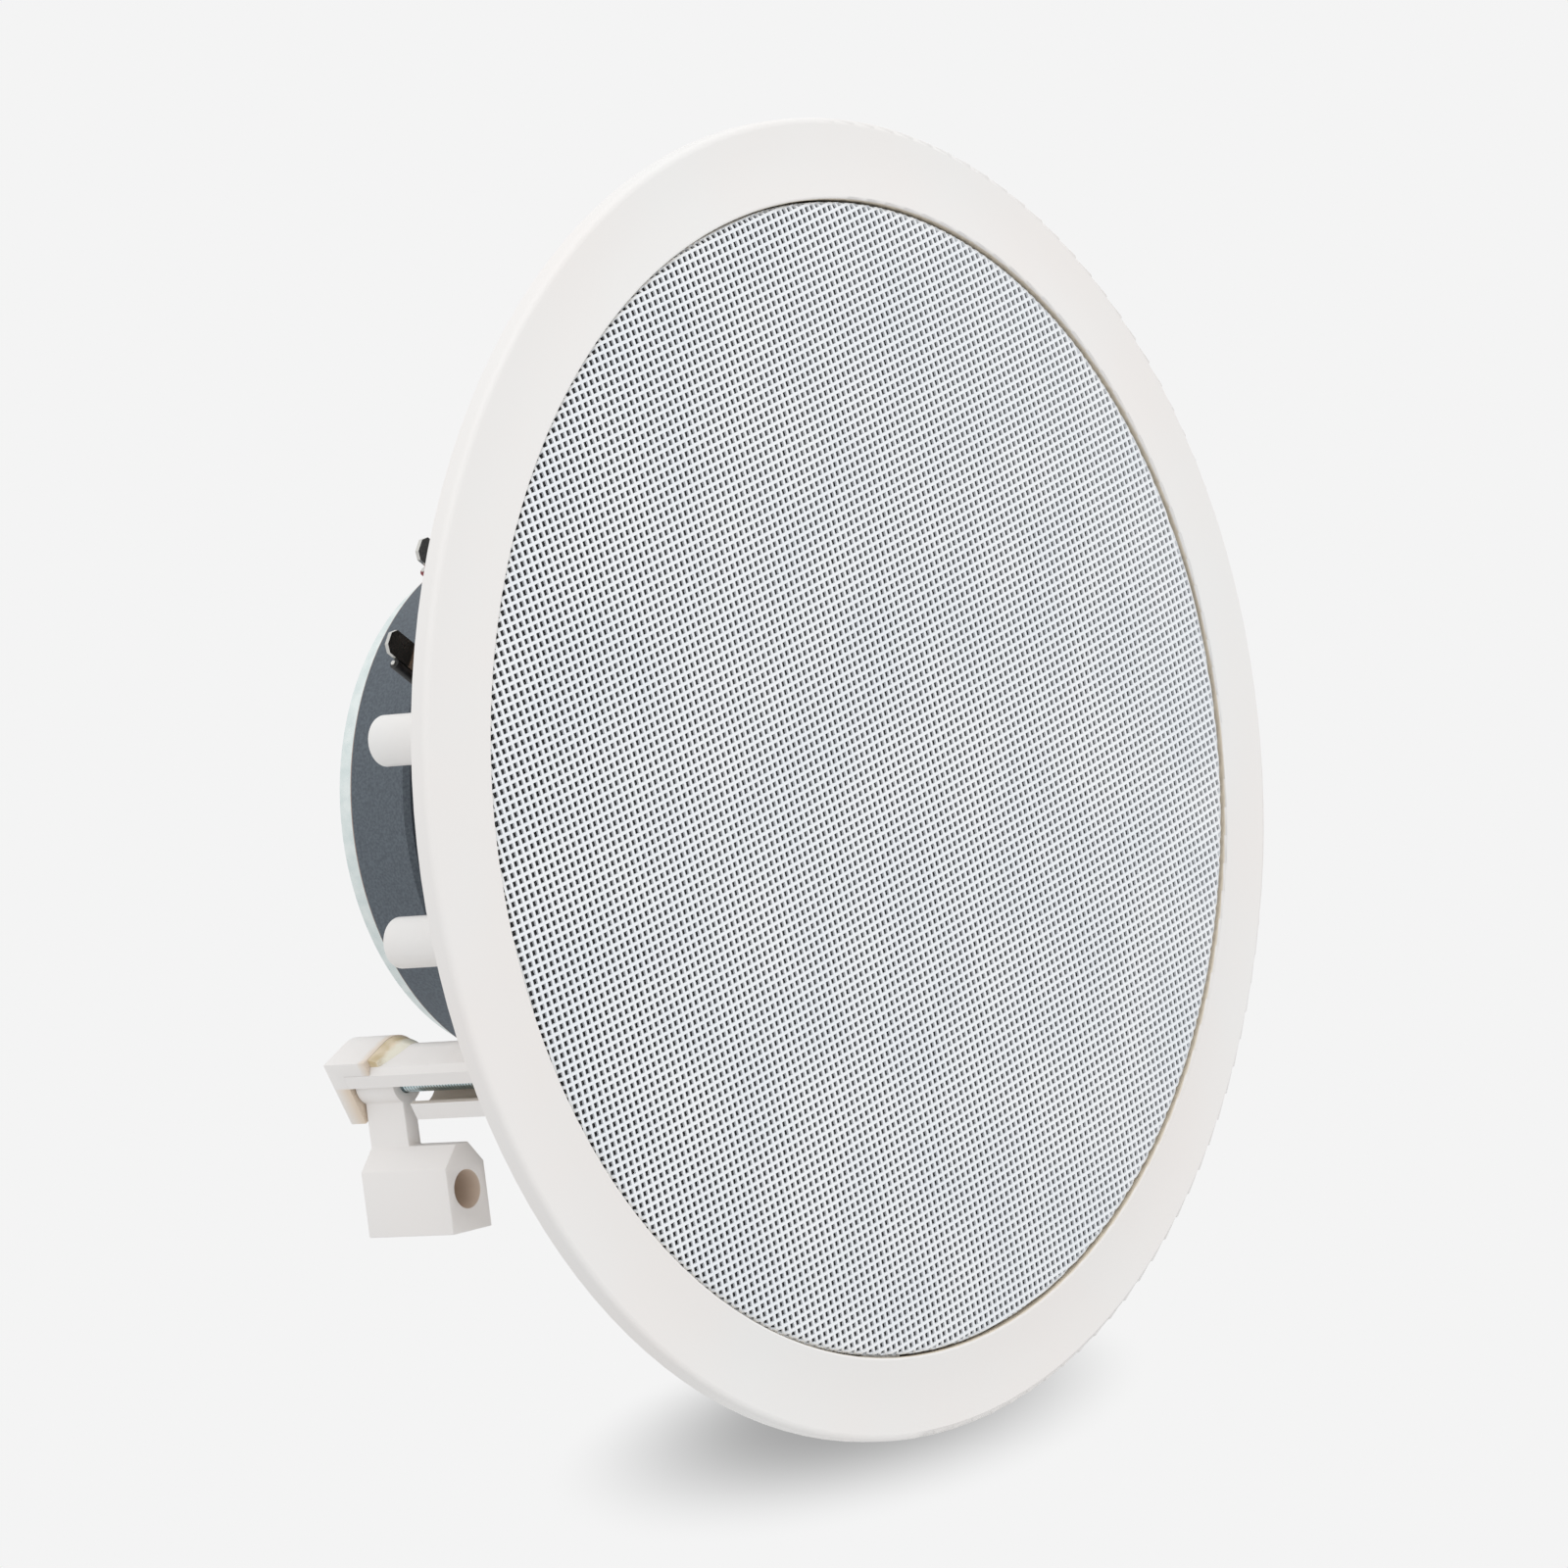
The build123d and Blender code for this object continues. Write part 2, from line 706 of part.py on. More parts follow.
with BuildPart() as driver_gasket:
    with BuildSketch(across(lip_front)):
        Circle(surround_outer_radius + surround_lip_width)
        Circle(surround_outer_radius, mode=Mode.SUBTRACT)
    extrude(amount=gasket_thickness)
save(driver_gasket, "driver_gasket")


# Spider: corrugated disc from the basket's shelf to the former
with BuildPart() as spider:
    spider_inner = former_outer_radius + glue_gap
    spider_outer = shelf_outer_radius - 2 * basket_sheet
    wave_start = spider_inner + spider_margin
    wave_end = shelf_inner_radius - spider_margin
    wave_step = (wave_end - wave_start) / (2 * spider_waves)
    spider_back = shelf_front - glue_gap

    def spider_edge(depth):
        """Folded line of the spider at a depth, from the former to the shelf."""
        folds = [(wave_start + (turn + 0.5) * wave_step, depth - spider_wave_height * (1 - turn % 2))
                 for turn in range(2 * spider_waves)]
        return [(spider_inner, depth), (wave_start - wave_step / 2, depth), *folds,
                (spider_outer, depth)]

    with BuildSketch():
        with BuildLine():
            front_line = FilletPolyline(*spider_edge(spider_back - spider_thickness), radius=wave_step / 3)
            back_line = FilletPolyline(*spider_edge(spider_back), radius=wave_step / 3)
            Line(front_line @ 0, back_line @ 0)
            Line(front_line @ 1, back_line @ 1)
        make_face()
    revolve(axis=Axis.Y)
save(spider, "spider")


# Terminal strip: board, spade blades and rivets, behind the basket's tab
board_back = shelf_back + board_thickness
blade_sides = {"positive": -blade_spacing / 2, "negative": blade_spacing / 2}
rivet_sides = (0, *blade_sides.values())
rivet_places = [(rivet_place, side) for side in rivet_sides]

with BuildPart() as terminal_board:
    with BuildSketch(turned(terminal_angle, board_back)):
        with Locations((board_start, 0)):
            Rectangle(board_length, board_width, align=(Align.MIN, Align.CENTER))
        with Locations(*rivet_places):
            Circle(rivet_radius, mode=Mode.SUBTRACT)
    extrude(amount=board_thickness)
save(terminal_board, "terminal_board")

for name, side in blade_sides.items():
    with BuildPart() as blade:
        blade_start = rivet_place - rivet_head_radius
        blade_end = board_start + board_length + blade_reach
        with BuildSketch(turned(terminal_angle, board_back + blade_thickness)) as blade_outline:
            with Locations((blade_start, side)):
                Rectangle(blade_end - blade_start, blade_width, align=(Align.MIN, Align.CENTER))
            chamfer(blade_outline.vertices().sort_by(Axis.X)[-2:], length=blade_tip_chamfer)
            with Locations((rivet_place, side)):
                Circle(rivet_radius, mode=Mode.SUBTRACT)
        extrude(amount=blade_thickness)
    save(blade, f"terminal_blade_{name}")

with BuildPart() as terminal_rivets:
    rivet_backs = (board_back, board_back + blade_thickness, board_back + blade_thickness)
    rivet_fronts = (shelf_front, shelf_back, shelf_back)
    for side, back, front in zip(rivet_sides, rivet_backs, rivet_fronts):
        stages = (
            (rivet_head_radius, back + rivet_head_height, rivet_head_height),
            (rivet_radius, back, back - front),
            (rivet_head_radius, front, rivet_head_height),
        )
        for radius, depth, length in stages:
            with BuildSketch(turned(terminal_angle, depth)):
                with Locations((rivet_place, side)):
                    Circle(radius)
            extrude(amount=length)
save(terminal_rivets, "terminal_rivets")


# Tinsel leads from the blades' rivets through a window to the back of the cone
def lead_point(radius, side, depth):
    """Point of a lead beside the terminal strip's radial line."""
    heading = radians(terminal_angle)
    return (radius * cos(heading) - side * sin(heading), depth, radius * sin(heading) + side * cos(heading))


for name, side in blade_sides.items():
    cone_side = lead_spread / 2 if side > 0 else -lead_spread / 2
    cone_place = hypot(lead_cone_radius, cone_side)
    lead_start = shelf_back - rivet_head_height - glue_gap
    lead_end = cone_front(cone_place) + cone_thickness + lead_radius
    with BuildPart() as tinsel_lead:
        with BuildLine() as route:
            FilletPolyline(
                lead_point(rivet_place, side, lead_start),
                lead_point(rivet_place, side, lead_start - lead_rise),
                lead_point(shelf_outer_radius, cone_side, window_depth + lead_slope),
                lead_point(shelf_inner_radius - spider_margin, cone_side, window_depth + 2 * lead_slope),
                lead_point(lead_cone_radius, cone_side, lead_end),
                radius=lead_bend,
            )
        with BuildSketch(Plane(route.line @ 0, z_dir=route.line % 0)):
            Circle(lead_radius)
        sweep()
    save(tinsel_lead, f"tinsel_lead_{name}")
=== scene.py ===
from math import cos, hypot, pi, radians, sin

import bmesh
import bpy
from mathutils import Matrix, Vector


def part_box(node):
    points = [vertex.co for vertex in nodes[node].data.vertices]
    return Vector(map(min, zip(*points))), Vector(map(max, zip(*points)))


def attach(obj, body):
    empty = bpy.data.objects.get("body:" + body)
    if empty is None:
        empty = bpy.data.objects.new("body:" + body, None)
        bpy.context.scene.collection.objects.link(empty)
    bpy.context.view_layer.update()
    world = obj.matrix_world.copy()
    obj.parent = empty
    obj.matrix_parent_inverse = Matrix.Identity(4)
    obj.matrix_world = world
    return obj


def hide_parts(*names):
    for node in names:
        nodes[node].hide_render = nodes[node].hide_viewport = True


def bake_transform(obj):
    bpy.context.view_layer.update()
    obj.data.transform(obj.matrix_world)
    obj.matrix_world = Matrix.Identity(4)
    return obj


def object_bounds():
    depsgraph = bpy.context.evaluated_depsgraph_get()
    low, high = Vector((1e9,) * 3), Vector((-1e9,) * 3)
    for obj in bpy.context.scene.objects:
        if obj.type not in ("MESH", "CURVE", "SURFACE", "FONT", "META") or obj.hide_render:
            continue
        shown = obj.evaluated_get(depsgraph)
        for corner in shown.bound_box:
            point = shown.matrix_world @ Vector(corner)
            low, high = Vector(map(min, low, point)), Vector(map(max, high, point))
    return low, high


# Looks of a round in-ceiling loudspeaker: white bezel, domed perforated grille, clamps and driver.
# Metres. X is to the right and Z up as seen from the room, Y points into the ceiling void.

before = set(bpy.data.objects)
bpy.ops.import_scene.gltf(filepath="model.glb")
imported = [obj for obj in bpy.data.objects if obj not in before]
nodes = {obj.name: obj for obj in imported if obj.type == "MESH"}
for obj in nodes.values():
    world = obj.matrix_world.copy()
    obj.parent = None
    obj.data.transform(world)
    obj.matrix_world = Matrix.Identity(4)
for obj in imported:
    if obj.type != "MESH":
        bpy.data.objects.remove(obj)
cad_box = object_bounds()
HOUSING = "housing"

# Grille sheet
grille_low, grille_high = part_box("grille")
GRILLE_RADIUS = grille_high.x
GRILLE_APEX = grille_low.y
GRILLE_EDGE_END = grille_high.y
GRILLE_SHEET = 0.00045
GRILLE_CROWN_SQUARE = 0.00087
GRILLE_CROWN_FOURTH = 0.00274
GRILLE_BEND = 0.0008
HOLE_PITCH = 0.0016118
HOLE_SIZE = 0.00104
HOLES_ACROSS = 142
MIDDLE_LINE = HOLES_ACROSS
LAST_LINE = 2 * HOLES_ACROSS - 1
LATTICE_TURN = radians(16.56)
LATTICE_SHIFT = (0.348, -0.153)

# Felt shim in the grille's gap, and the bezel's recess
SHIM_INSIDE = 0.10672
SHIM_OUTSIDE = 0.10708
SHIM_FRONT = -0.0044
SHIM_BACK = 0.0010
SHIM_FROM = radians(-98.4)
SHIM_TURN = radians(5.7)
RECESS_RADIUS = 0.1071
RECESS_DEPTH = 0.0020

# Driver suspension
surround_low, surround_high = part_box("surround")
spider_low, spider_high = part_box("spider")
CONE_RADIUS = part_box("cone")[1].x
SURROUND_SHEET = 0.0008
CONE_LIP = 0.0026
ROLL_STEPS = 12
SPIDER_SHEET = 0.0006
SPIDER_INSIDE = 0.0130
SPIDER_WAVES = 5
WAVE_START = 0.01565
WAVE_LENGTH = 0.0054
WAVE_STEPS = 8
SURROUND_SECTORS = 24
SPIDER_SECTORS = 12
SECTOR_STEPS = 4

# Tinsel leads, and terminal sleeves beside the spade blades
TERMINAL_HEADING = radians(148.5)
BLADE_SIDES = {"positive": -0.0098, "negative": 0.0098}
BOARD_BACK = 0.0488
SLEEVE_RADIUS = 0.00095
SLEEVE_CORE_RADIUS = 0.00045
SLEEVE_OFFSET = 0.0031
SLEEVE_FROM = 0.0625
SLEEVE_TO = 0.0733

# Ceiling clamps
CLAMPS = {"top": radians(90), "left": radians(210), "right": radians(330)}
DOG_TURNS = {"top": radians(130), "left": radians(64.5), "right": radians(130)}
CLAMP_RADIUS = 0.097
SCREW_RADIUS = 0.00195
SCREW_HEAD_BACK = 0.005
HEAD_OVERLAP = 0.00001
THREAD_PITCH = 0.0007
THREAD_DEPTH = 0.00042
THREAD_CREST = (0.4, 0.6)
THREAD_STEPS = 18
THREAD_SPARE_TURNS = 2
THREAD_MERGE = 2e-6
DOG_CORE_AT = 0.020
DOG_CORE_RADIUS = 0.0035
DOG_CORE_FLOOR = 0.0438
EDGE_EASING = 0.0002
FLAT_ANGLE = radians(0.5)
SHARP_ANGLE = radians(35)

# Clamp columns, their caps and the glue between them
COLUMN_END = 0.0507
HOOD_FRONT = 0.0444
COLUMN_STOP_SIDE = 0.0056
COLUMN_CORNER = 0.0035
COLUMN_BACK_MIDDLE = (-0.00245, -0.00015)
COLUMN_BACK_RADIUS = 0.00545
GLUE_ROUND_BACK = radians(99)
GLUE_HEIGHT = 0.0015
GLUE_SHOULDER = 0.55
GLUE_LENGTH = 0.0021
GLUE_RUN = 0.0024
GLUE_STEPS = 32
GLUE_SIDES = 4

# Meshes in general
SMOOTH_ANGLE = radians(40)
GRILLE_SMOOTH_ANGLE = radians(50)
CLAMP_SMOOTH_ANGLE = radians(30)
MERGE_DISTANCE = 1e-6

# Camera, turned about the speaker as the photograph sees it
CAMERA_AZIMUTH = radians(-50.46)
CAMERA_ELEVATION = radians(0.0)
CAMERA_ROLL = radians(-4.33)
CAMERA_DISTANCE = 1.7085
CAMERA_AIM = Vector((-0.0083, 0.0101, 0.0))
CAMERA_LENS = 211.9
SENSOR_WIDTH = 36.0

# Studio: even backdrop, surroundings brighter above, one soft key light and a shadow painted on the floor
BACKDROP = 0.905
LIGHT_BELOW = 0.70
LIGHT_ABOVE = 1.08
KEY_STRENGTH = 0.42
KEY_SPREAD = radians(60)
KEY_FROM = Vector((-0.2, -0.7, 0.85))
FLOOR_REACH = 1.2
SHADOW_CENTRE = (0.073, 0.069)
SHADOW_TURN = radians(-54.75)
SHADOW_REACH = (0.0556, 0.312)
SHADOW_CORE = 0.22
SHADOW_DEPTH = 0.567

# White mouldings: colours, painted shade in crevices, in the bezel's recess, in the dogs' core holes and on
# the caps behind the dogs, and where the caps carry glue stains
WARM_WHITE = (0.85, 0.82, 0.80)
COOL_WHITE = (0.84, 0.835, 0.825)
CREVICE_SHADE_CREAM = (0.80, 0.70, 0.60)
CREVICE_REACH = 0.02
CREVICE_CLOSED = 0.25
CREVICE_OPEN = 0.75
RECESS_SHADE_CREAM = (0.70, 0.62, 0.50)
CORE_SHADE_TAN = (0.70, 0.58, 0.48)
CORE_EDGE = 0.0001
RING_PITCH = 0.0006
RINGS_REACH = 0.0008
RINGS_FADE = 0.0014
PEACH_STAIN_AND_SHADE = (0.74, 0.61, 0.47)
RAGGED_STAIN_AND_SHADE = 0.0012
DOG_SHADE_SIDE = -0.0021
DOG_SHADE_SIDE_FADE = 0.0004
DOG_SHADE_STRENGTH = 0.85
DOG_SHADE_REACH = 0.0012
DOG_SHADE_FADE = 0.0032
HOOD_STAIN_STRENGTH = 0.7
HOOD_STAIN_REACH = 0.0010
HOOD_STAIN_FADE = 0.0014

# Glue, grille coat, screw thread and magnet: colours and where they change, with painted shade down in the
# screw thread
GLUE_AMBER = (0.62, 0.5, 0.3)
GLUE_YELLOW = (0.8, 0.68, 0.5)
GLUE_PALE = (0.86, 0.83, 0.7)
GLUE_RAGGED = 0.001
COAT_SHADE = (0.86, 0.89, 0.925)
COAT_WHITE = (0.90, 0.92, 0.945)
CREST_DULL = (0.62, 0.78, 0.82)
CREST_BRIGHT = (0.80, 0.92, 0.94)
THREAD_ROOT_SHADE = (0.16, 0.21, 0.23)
ROOT_MARGIN = 0.00005
CREST_MARGIN = 0.0001
FERRITE_DARK = (0.068, 0.084, 0.104)
FERRITE_PALE = (0.112, 0.138, 0.162)
GLUE_BROWN = (0.42, 0.31, 0.26)
MAGNET_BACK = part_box("magnet")[1].y
GLUE_LINE_FROM = MAGNET_BACK - 0.0012
GLUE_LINE_TO = MAGNET_BACK - 0.0003

# Finishes in general: soft border of a painted patch, spread of a mottled roughness
PAINT_EDGE = 0.0002
ROUGHNESS_SPREAD = 0.08

# Nodes: stretch that leaves an axis out, bands of a Wave texture in a unit, colour sockets of a Mix
FAR = 1000
WAVE_BANDS = 10 / pi
MIX_UNDER = 6
MIX_OVER = 7
MIX_RESULT = 2


# Directions round the speaker's axis
def radial(angle):
    """Unit vector outwards."""
    return Vector((cos(angle), 0, sin(angle)))


def tangent(angle):
    """Unit vector round the axis, a quarter turn on from outwards."""
    return Vector((-sin(angle), 0, cos(angle)))


def clamp_axis(angle):
    """Point on a clamp screw's axis."""
    return Vector((CLAMP_RADIUS * cos(angle), 0, CLAMP_RADIUS * sin(angle)))


# Node helpers for the finishes
def new_finish(name, roughness, metallic=0.0):
    """Material with one Principled shader; returns the material, its node tree and the shader."""
    material = bpy.data.materials.new(name)
    material.use_nodes = True
    tree = material.node_tree
    shader = tree.nodes["Principled BSDF"]
    shader.inputs["Roughness"].default_value = roughness
    shader.inputs["Metallic"].default_value = metallic
    return material, tree, shader


def place_on(tree, stretch=(1, 1, 1), centre=(0, 0, 0), turn=(0, 0, 0)):
    """Object coordinates, moved to a centre, turned and stretched."""
    coordinates = tree.nodes.new("ShaderNodeTexCoord")
    mapping = tree.nodes.new("ShaderNodeMapping")
    mapping.vector_type = "TEXTURE"
    mapping.inputs["Location"].default_value = centre
    mapping.inputs["Rotation"].default_value = turn
    mapping.inputs["Scale"].default_value = stretch
    tree.links.new(coordinates.outputs["Object"], mapping.inputs["Vector"])
    return mapping.outputs["Vector"]


def noise(tree, size, detail=2.0):
    """Noise with patches of about that size in metres."""
    texture = tree.nodes.new("ShaderNodeTexNoise")
    texture.inputs["Scale"].default_value = 1 / size
    texture.inputs["Detail"].default_value = detail
    tree.links.new(place_on(tree), texture.inputs["Vector"])
    return texture.outputs["Fac"]


def bands(tree, direction, width):
    """Sine bands of that width across a direction."""
    wave = tree.nodes.new("ShaderNodeTexWave")
    wave.bands_direction = direction
    wave.inputs["Scale"].default_value = 1 / (WAVE_BANDS * width)
    tree.links.new(place_on(tree), wave.inputs["Vector"])
    return wave.outputs["Fac"]


def length_of(tree, vector):
    """Length of a vector."""
    node = tree.nodes.new("ShaderNodeVectorMath")
    node.operation = "LENGTH"
    tree.links.new(vector, node.inputs[0])
    return node.outputs["Value"]


def off_axis(tree, x=0, z=0):
    """Distance from a line along Y."""
    return length_of(tree, place_on(tree, stretch=(1, FAR, 1), centre=(x, 0, z)))


def parts_of(tree, vector):
    """X, Y and Z of a vector."""
    split = tree.nodes.new("ShaderNodeSeparateXYZ")
    tree.links.new(vector, split.inputs["Vector"])
    return split.outputs


def depth_on(tree):
    """Depth along Y."""
    return parts_of(tree, place_on(tree))["Y"]


def clamp_place(tree, angle):
    """Coordinates on a clamp: X outwards from its screw, Y depth, Z the way its dog swings."""
    return place_on(tree, centre=clamp_axis(angle), turn=(0, -angle, 0))


def shade(tree, factor, low, high, start=0.35, end=0.65):
    """Colour that runs from low to high as the factor goes from start to end."""
    ramp = tree.nodes.new("ShaderNodeValToRGB")
    for element, place, colour in zip(ramp.color_ramp.elements, (start, end), (low, high)):
        element.position = place
        element.color = (*colour, 1)
    tree.links.new(factor, ramp.inputs["Fac"])
    return ramp.outputs["Color"]


def value(tree, factor, low, high, start=0.3, end=0.7):
    """Number that runs from low to high as the factor goes from start to end."""
    span = tree.nodes.new("ShaderNodeMapRange")
    for socket, number in zip(("From Min", "From Max", "To Min", "To Max"), (start, end, low, high)):
        span.inputs[socket].default_value = number
    tree.links.new(factor, span.inputs["Value"])
    return span.outputs["Result"]


def up_to(tree, factor, border, fade=PAINT_EDGE, strength=1):
    """Full strength up to a border, then fading to nothing."""
    return value(tree, factor, strength, 0, border, border + fade)


def beyond(tree, factor, border, fade=PAINT_EDGE):
    """Nothing up to a border, then rising to one."""
    return value(tree, factor, 0, 1, border, border + fade)


def calculate(tree, operation, first, second):
    """Result of a math node on sockets or numbers."""
    node = tree.nodes.new("ShaderNodeMath")
    node.operation = operation
    for socket, given in zip(node.inputs[:2], (first, second)):
        if isinstance(given, (int, float)):
            socket.default_value = given
        else:
            tree.links.new(given, socket)
    return node.outputs["Value"]


def blended(tree, factor, under, over):
    """Colour over another, by a factor."""
    mix = tree.nodes.new("ShaderNodeMix")
    mix.data_type = "RGBA"
    tree.links.new(factor, mix.inputs["Factor"])
    for socket, colour in ((mix.inputs[MIX_UNDER], under), (mix.inputs[MIX_OVER], over)):
        if isinstance(colour, tuple):
            socket.default_value = (*colour, 1)
        else:
            tree.links.new(colour, socket)
    return mix.outputs[MIX_RESULT]


def paint(tree, shader, colour):
    """Give the shader its colour."""
    tree.links.new(colour, shader.inputs["Base Color"])


def roughen(tree, shader, factor, low, high):
    """Vary the shader's roughness with a factor."""
    tree.links.new(value(tree, factor, low, high), shader.inputs["Roughness"])


def relief(tree, shader, height, depth, strength):
    """Bump of that depth in metres on the shader."""
    bump = tree.nodes.new("ShaderNodeBump")
    bump.inputs["Strength"].default_value = strength
    bump.inputs["Distance"].default_value = depth
    tree.links.new(height, bump.inputs["Height"])
    tree.links.new(bump.outputs["Normal"], shader.inputs["Normal"])


# Finishes of the white mouldings
def white_moulding(name):
    """Satin white ABS with a painted warm shade in its own crevices; returns its colour too, for marks to
    go over.
    """
    material, tree, shader = new_finish(name, roughness=0.42)
    white = shade(tree, noise(tree, size=0.06, detail=3.0), WARM_WHITE, COOL_WHITE)
    # Painted shade: warm cream laid where the moulding closes round itself, from local ambient occlusion
    openness = tree.nodes.new("ShaderNodeAmbientOcclusion")
    openness.only_local = True
    openness.samples = 8
    openness.inputs["Distance"].default_value = CREVICE_REACH
    crevice = value(tree, openness.outputs["AO"], 1, 0, CREVICE_CLOSED, CREVICE_OPEN)
    roughen(tree, shader, noise(tree, size=0.004), low=0.38, high=0.47)
    return material, tree, shader, blended(tree, crevice, white, CREVICE_SHADE_CREAM)


def moulded_grain(tree, shader):
    """Fine grain that the mould leaves."""
    relief(tree, shader, noise(tree, size=0.00035, detail=3.0), depth=0.00001, strength=0.5)


def bezel_finish():
    """White moulding with a painted warm shade down in the grille's recess."""
    material, tree, shader, colour = white_moulding("bezel_white_moulding")
    # Painted shade: the recess walls behind the grille's edge get a warm shaded tint
    inside = up_to(tree, off_axis(tree), RECESS_RADIUS)
    in_front = up_to(tree, depth_on(tree), RECESS_DEPTH)
    recess = calculate(tree, "MULTIPLY", inside, in_front)
    paint(tree, shader, blended(tree, recess, colour, RECESS_SHADE_CREAM))
    moulded_grain(tree, shader)
    return material


def dog_finish(side):
    """White moulding with a painted warm shade in its core hole and faint turning rings round it."""
    material, tree, shader, colour = white_moulding(f"clamp_dog_{side}_moulding")
    angle = CLAMPS[side]
    heading = angle + DOG_TURNS[side]
    x = CLAMP_RADIUS * cos(angle) + DOG_CORE_AT * cos(heading)
    z = CLAMP_RADIUS * sin(angle) + DOG_CORE_AT * sin(heading)
    distance = off_axis(tree, x, z)
    # Painted shade: the core hole's walls and floor get a warm shaded tint
    in_front = up_to(tree, depth_on(tree), DOG_CORE_FLOOR + CORE_EDGE)
    inside = up_to(tree, distance, DOG_CORE_RADIUS, CORE_EDGE)
    in_core = calculate(tree, "MULTIPLY", inside, in_front)
    paint(tree, shader, blended(tree, in_core, colour, CORE_SHADE_TAN))
    rings = calculate(tree, "SINE", calculate(tree, "MULTIPLY", distance, 2 * pi / RING_PITCH), 0)
    near = up_to(tree, distance, DOG_CORE_RADIUS + RINGS_REACH, RINGS_FADE)
    marked = calculate(tree, "MULTIPLY", near, in_front)
    relief(tree, shader, calculate(tree, "MULTIPLY", rings, marked), depth=0.00002, strength=0.4)
    return material


def cap_finish(side):
    """White moulding with a painted warm shade behind the dog and old glue stains along the hood's front
    edge.
    """
    material, tree, shader, colour = white_moulding(f"clamp_cap_{side}_moulding")
    place = parts_of(tree, clamp_place(tree, CLAMPS[side]))
    ragged = calculate(tree, "MULTIPLY", noise(tree, size=0.0025, detail=3.0), RAGGED_STAIN_AND_SHADE)
    depth = calculate(tree, "ADD", place["Y"], ragged)
    # Painted shade: peach darkening on the cap's swing side, full up to just behind the column's end, where
    # the dog sits close in front; the same peach along the hood's front edge marks old glue
    swing_side = beyond(tree, place["Z"], DOG_SHADE_SIDE, DOG_SHADE_SIDE_FADE)
    by_column = up_to(tree, depth, COLUMN_END + DOG_SHADE_REACH, DOG_SHADE_FADE, DOG_SHADE_STRENGTH)
    near_dog = calculate(tree, "MULTIPLY", swing_side, by_column)
    at_hood = up_to(tree, depth, HOOD_FRONT + HOOD_STAIN_REACH, HOOD_STAIN_FADE, HOOD_STAIN_STRENGTH)
    stain_and_shade = calculate(tree, "MAXIMUM", near_dog, at_hood)
    paint(tree, shader, blended(tree, stain_and_shade, colour, PEACH_STAIN_AND_SHADE))
    moulded_grain(tree, shader)
    return material


# Finishes of the other pieces
def glue_finish():
    """Yellowed clear glue, paler where it runs out on the column."""
    material, tree, shader = new_finish("yellowed_glue", roughness=0.25)
    ragged = calculate(tree, "MULTIPLY", noise(tree, size=0.0012), GLUE_RAGGED)
    depth = calculate(tree, "ADD", depth_on(tree), ragged)
    tone = shade(tree, noise(tree, size=0.003), GLUE_AMBER, GLUE_YELLOW)
    runs_out = up_to(tree, depth, HOOD_FRONT - GLUE_LENGTH, GLUE_RAGGED)
    paint(tree, shader, blended(tree, runs_out, tone, GLUE_PALE))
    shader.inputs["Coat Weight"].default_value = 0.5
    relief(tree, shader, noise(tree, size=0.0008), depth=0.00008, strength=0.5)
    return material


def coated_white():
    """White powder coat on the grille sheet, cooler than the bezel."""
    material, tree, shader = new_finish("grille_powder_coat", roughness=0.45)
    paint(tree, shader, shade(tree, noise(tree, size=0.02), COAT_SHADE, COAT_WHITE))
    relief(tree, shader, noise(tree, size=0.0003), depth=0.00001, strength=0.6)
    return material


def zinc_plating(name, low, high, size):
    """Bright zinc plate with a faint cloudy tint."""
    material, tree, shader = new_finish(name, roughness=0.3, metallic=1.0)
    paint(tree, shader, shade(tree, noise(tree, size, detail=4.0), low, high))
    roughen(tree, shader, noise(tree, size / 4, detail=3.0), low=0.25, high=0.45)
    relief(tree, shader, noise(tree, size / 8, detail=3.0), depth=0.00002, strength=0.5)
    return material


def rolled_thread(side):
    """Zinc on a clamp screw, with painted shade down in the thread."""
    material, tree, shader = new_finish(f"clamp_screw_{side}_zinc", roughness=0.32, metallic=1.0)
    axis = clamp_axis(CLAMPS[side])
    root = SCREW_RADIUS - THREAD_DEPTH
    crest = shade(tree, noise(tree, size=0.002, detail=3.0), CREST_DULL, CREST_BRIGHT)
    distance = off_axis(tree, axis.x, axis.z)
    # Painted shade: the thread's roots are darkened
    in_thread = value(tree, distance, 1, 0, root + ROOT_MARGIN, SCREW_RADIUS - CREST_MARGIN)
    paint(tree, shader, blended(tree, in_thread, crest, THREAD_ROOT_SHADE))
    relief(tree, shader, noise(tree, size=0.0003), depth=0.00001, strength=0.5)
    return material


def sintered_ferrite():
    """Grey sintered ferrite with a brown line of glue on the bevel of its rear edge."""
    material, tree, shader = new_finish("sintered_ferrite", roughness=0.55)
    mottle = noise(tree, size=0.0005, detail=4.0)
    colour = shade(tree, mottle, FERRITE_DARK, FERRITE_PALE)
    depth = depth_on(tree)
    past_side = beyond(tree, depth, GLUE_LINE_FROM)
    before_back = up_to(tree, depth, GLUE_LINE_TO)
    line = calculate(tree, "MULTIPLY", past_side, before_back)
    paint(tree, shader, blended(tree, line, colour, GLUE_BROWN))
    roughen(tree, shader, mottle, low=0.47, high=0.63)
    relief(tree, shader, mottle, depth=0.00003, strength=0.6)
    return material


def mottled(name, low, high, roughness, size, depth, metallic=0.0):
    """Finish with mottled colour and a matching relief."""
    material, tree, shader = new_finish(name, roughness, metallic)
    mottle = noise(tree, size, detail=4.0)
    paint(tree, shader, shade(tree, mottle, low, high))
    roughen(tree, shader, mottle, roughness - ROUGHNESS_SPREAD, roughness + ROUGHNESS_SPREAD)
    relief(tree, shader, mottle, depth, strength=0.7)
    return material


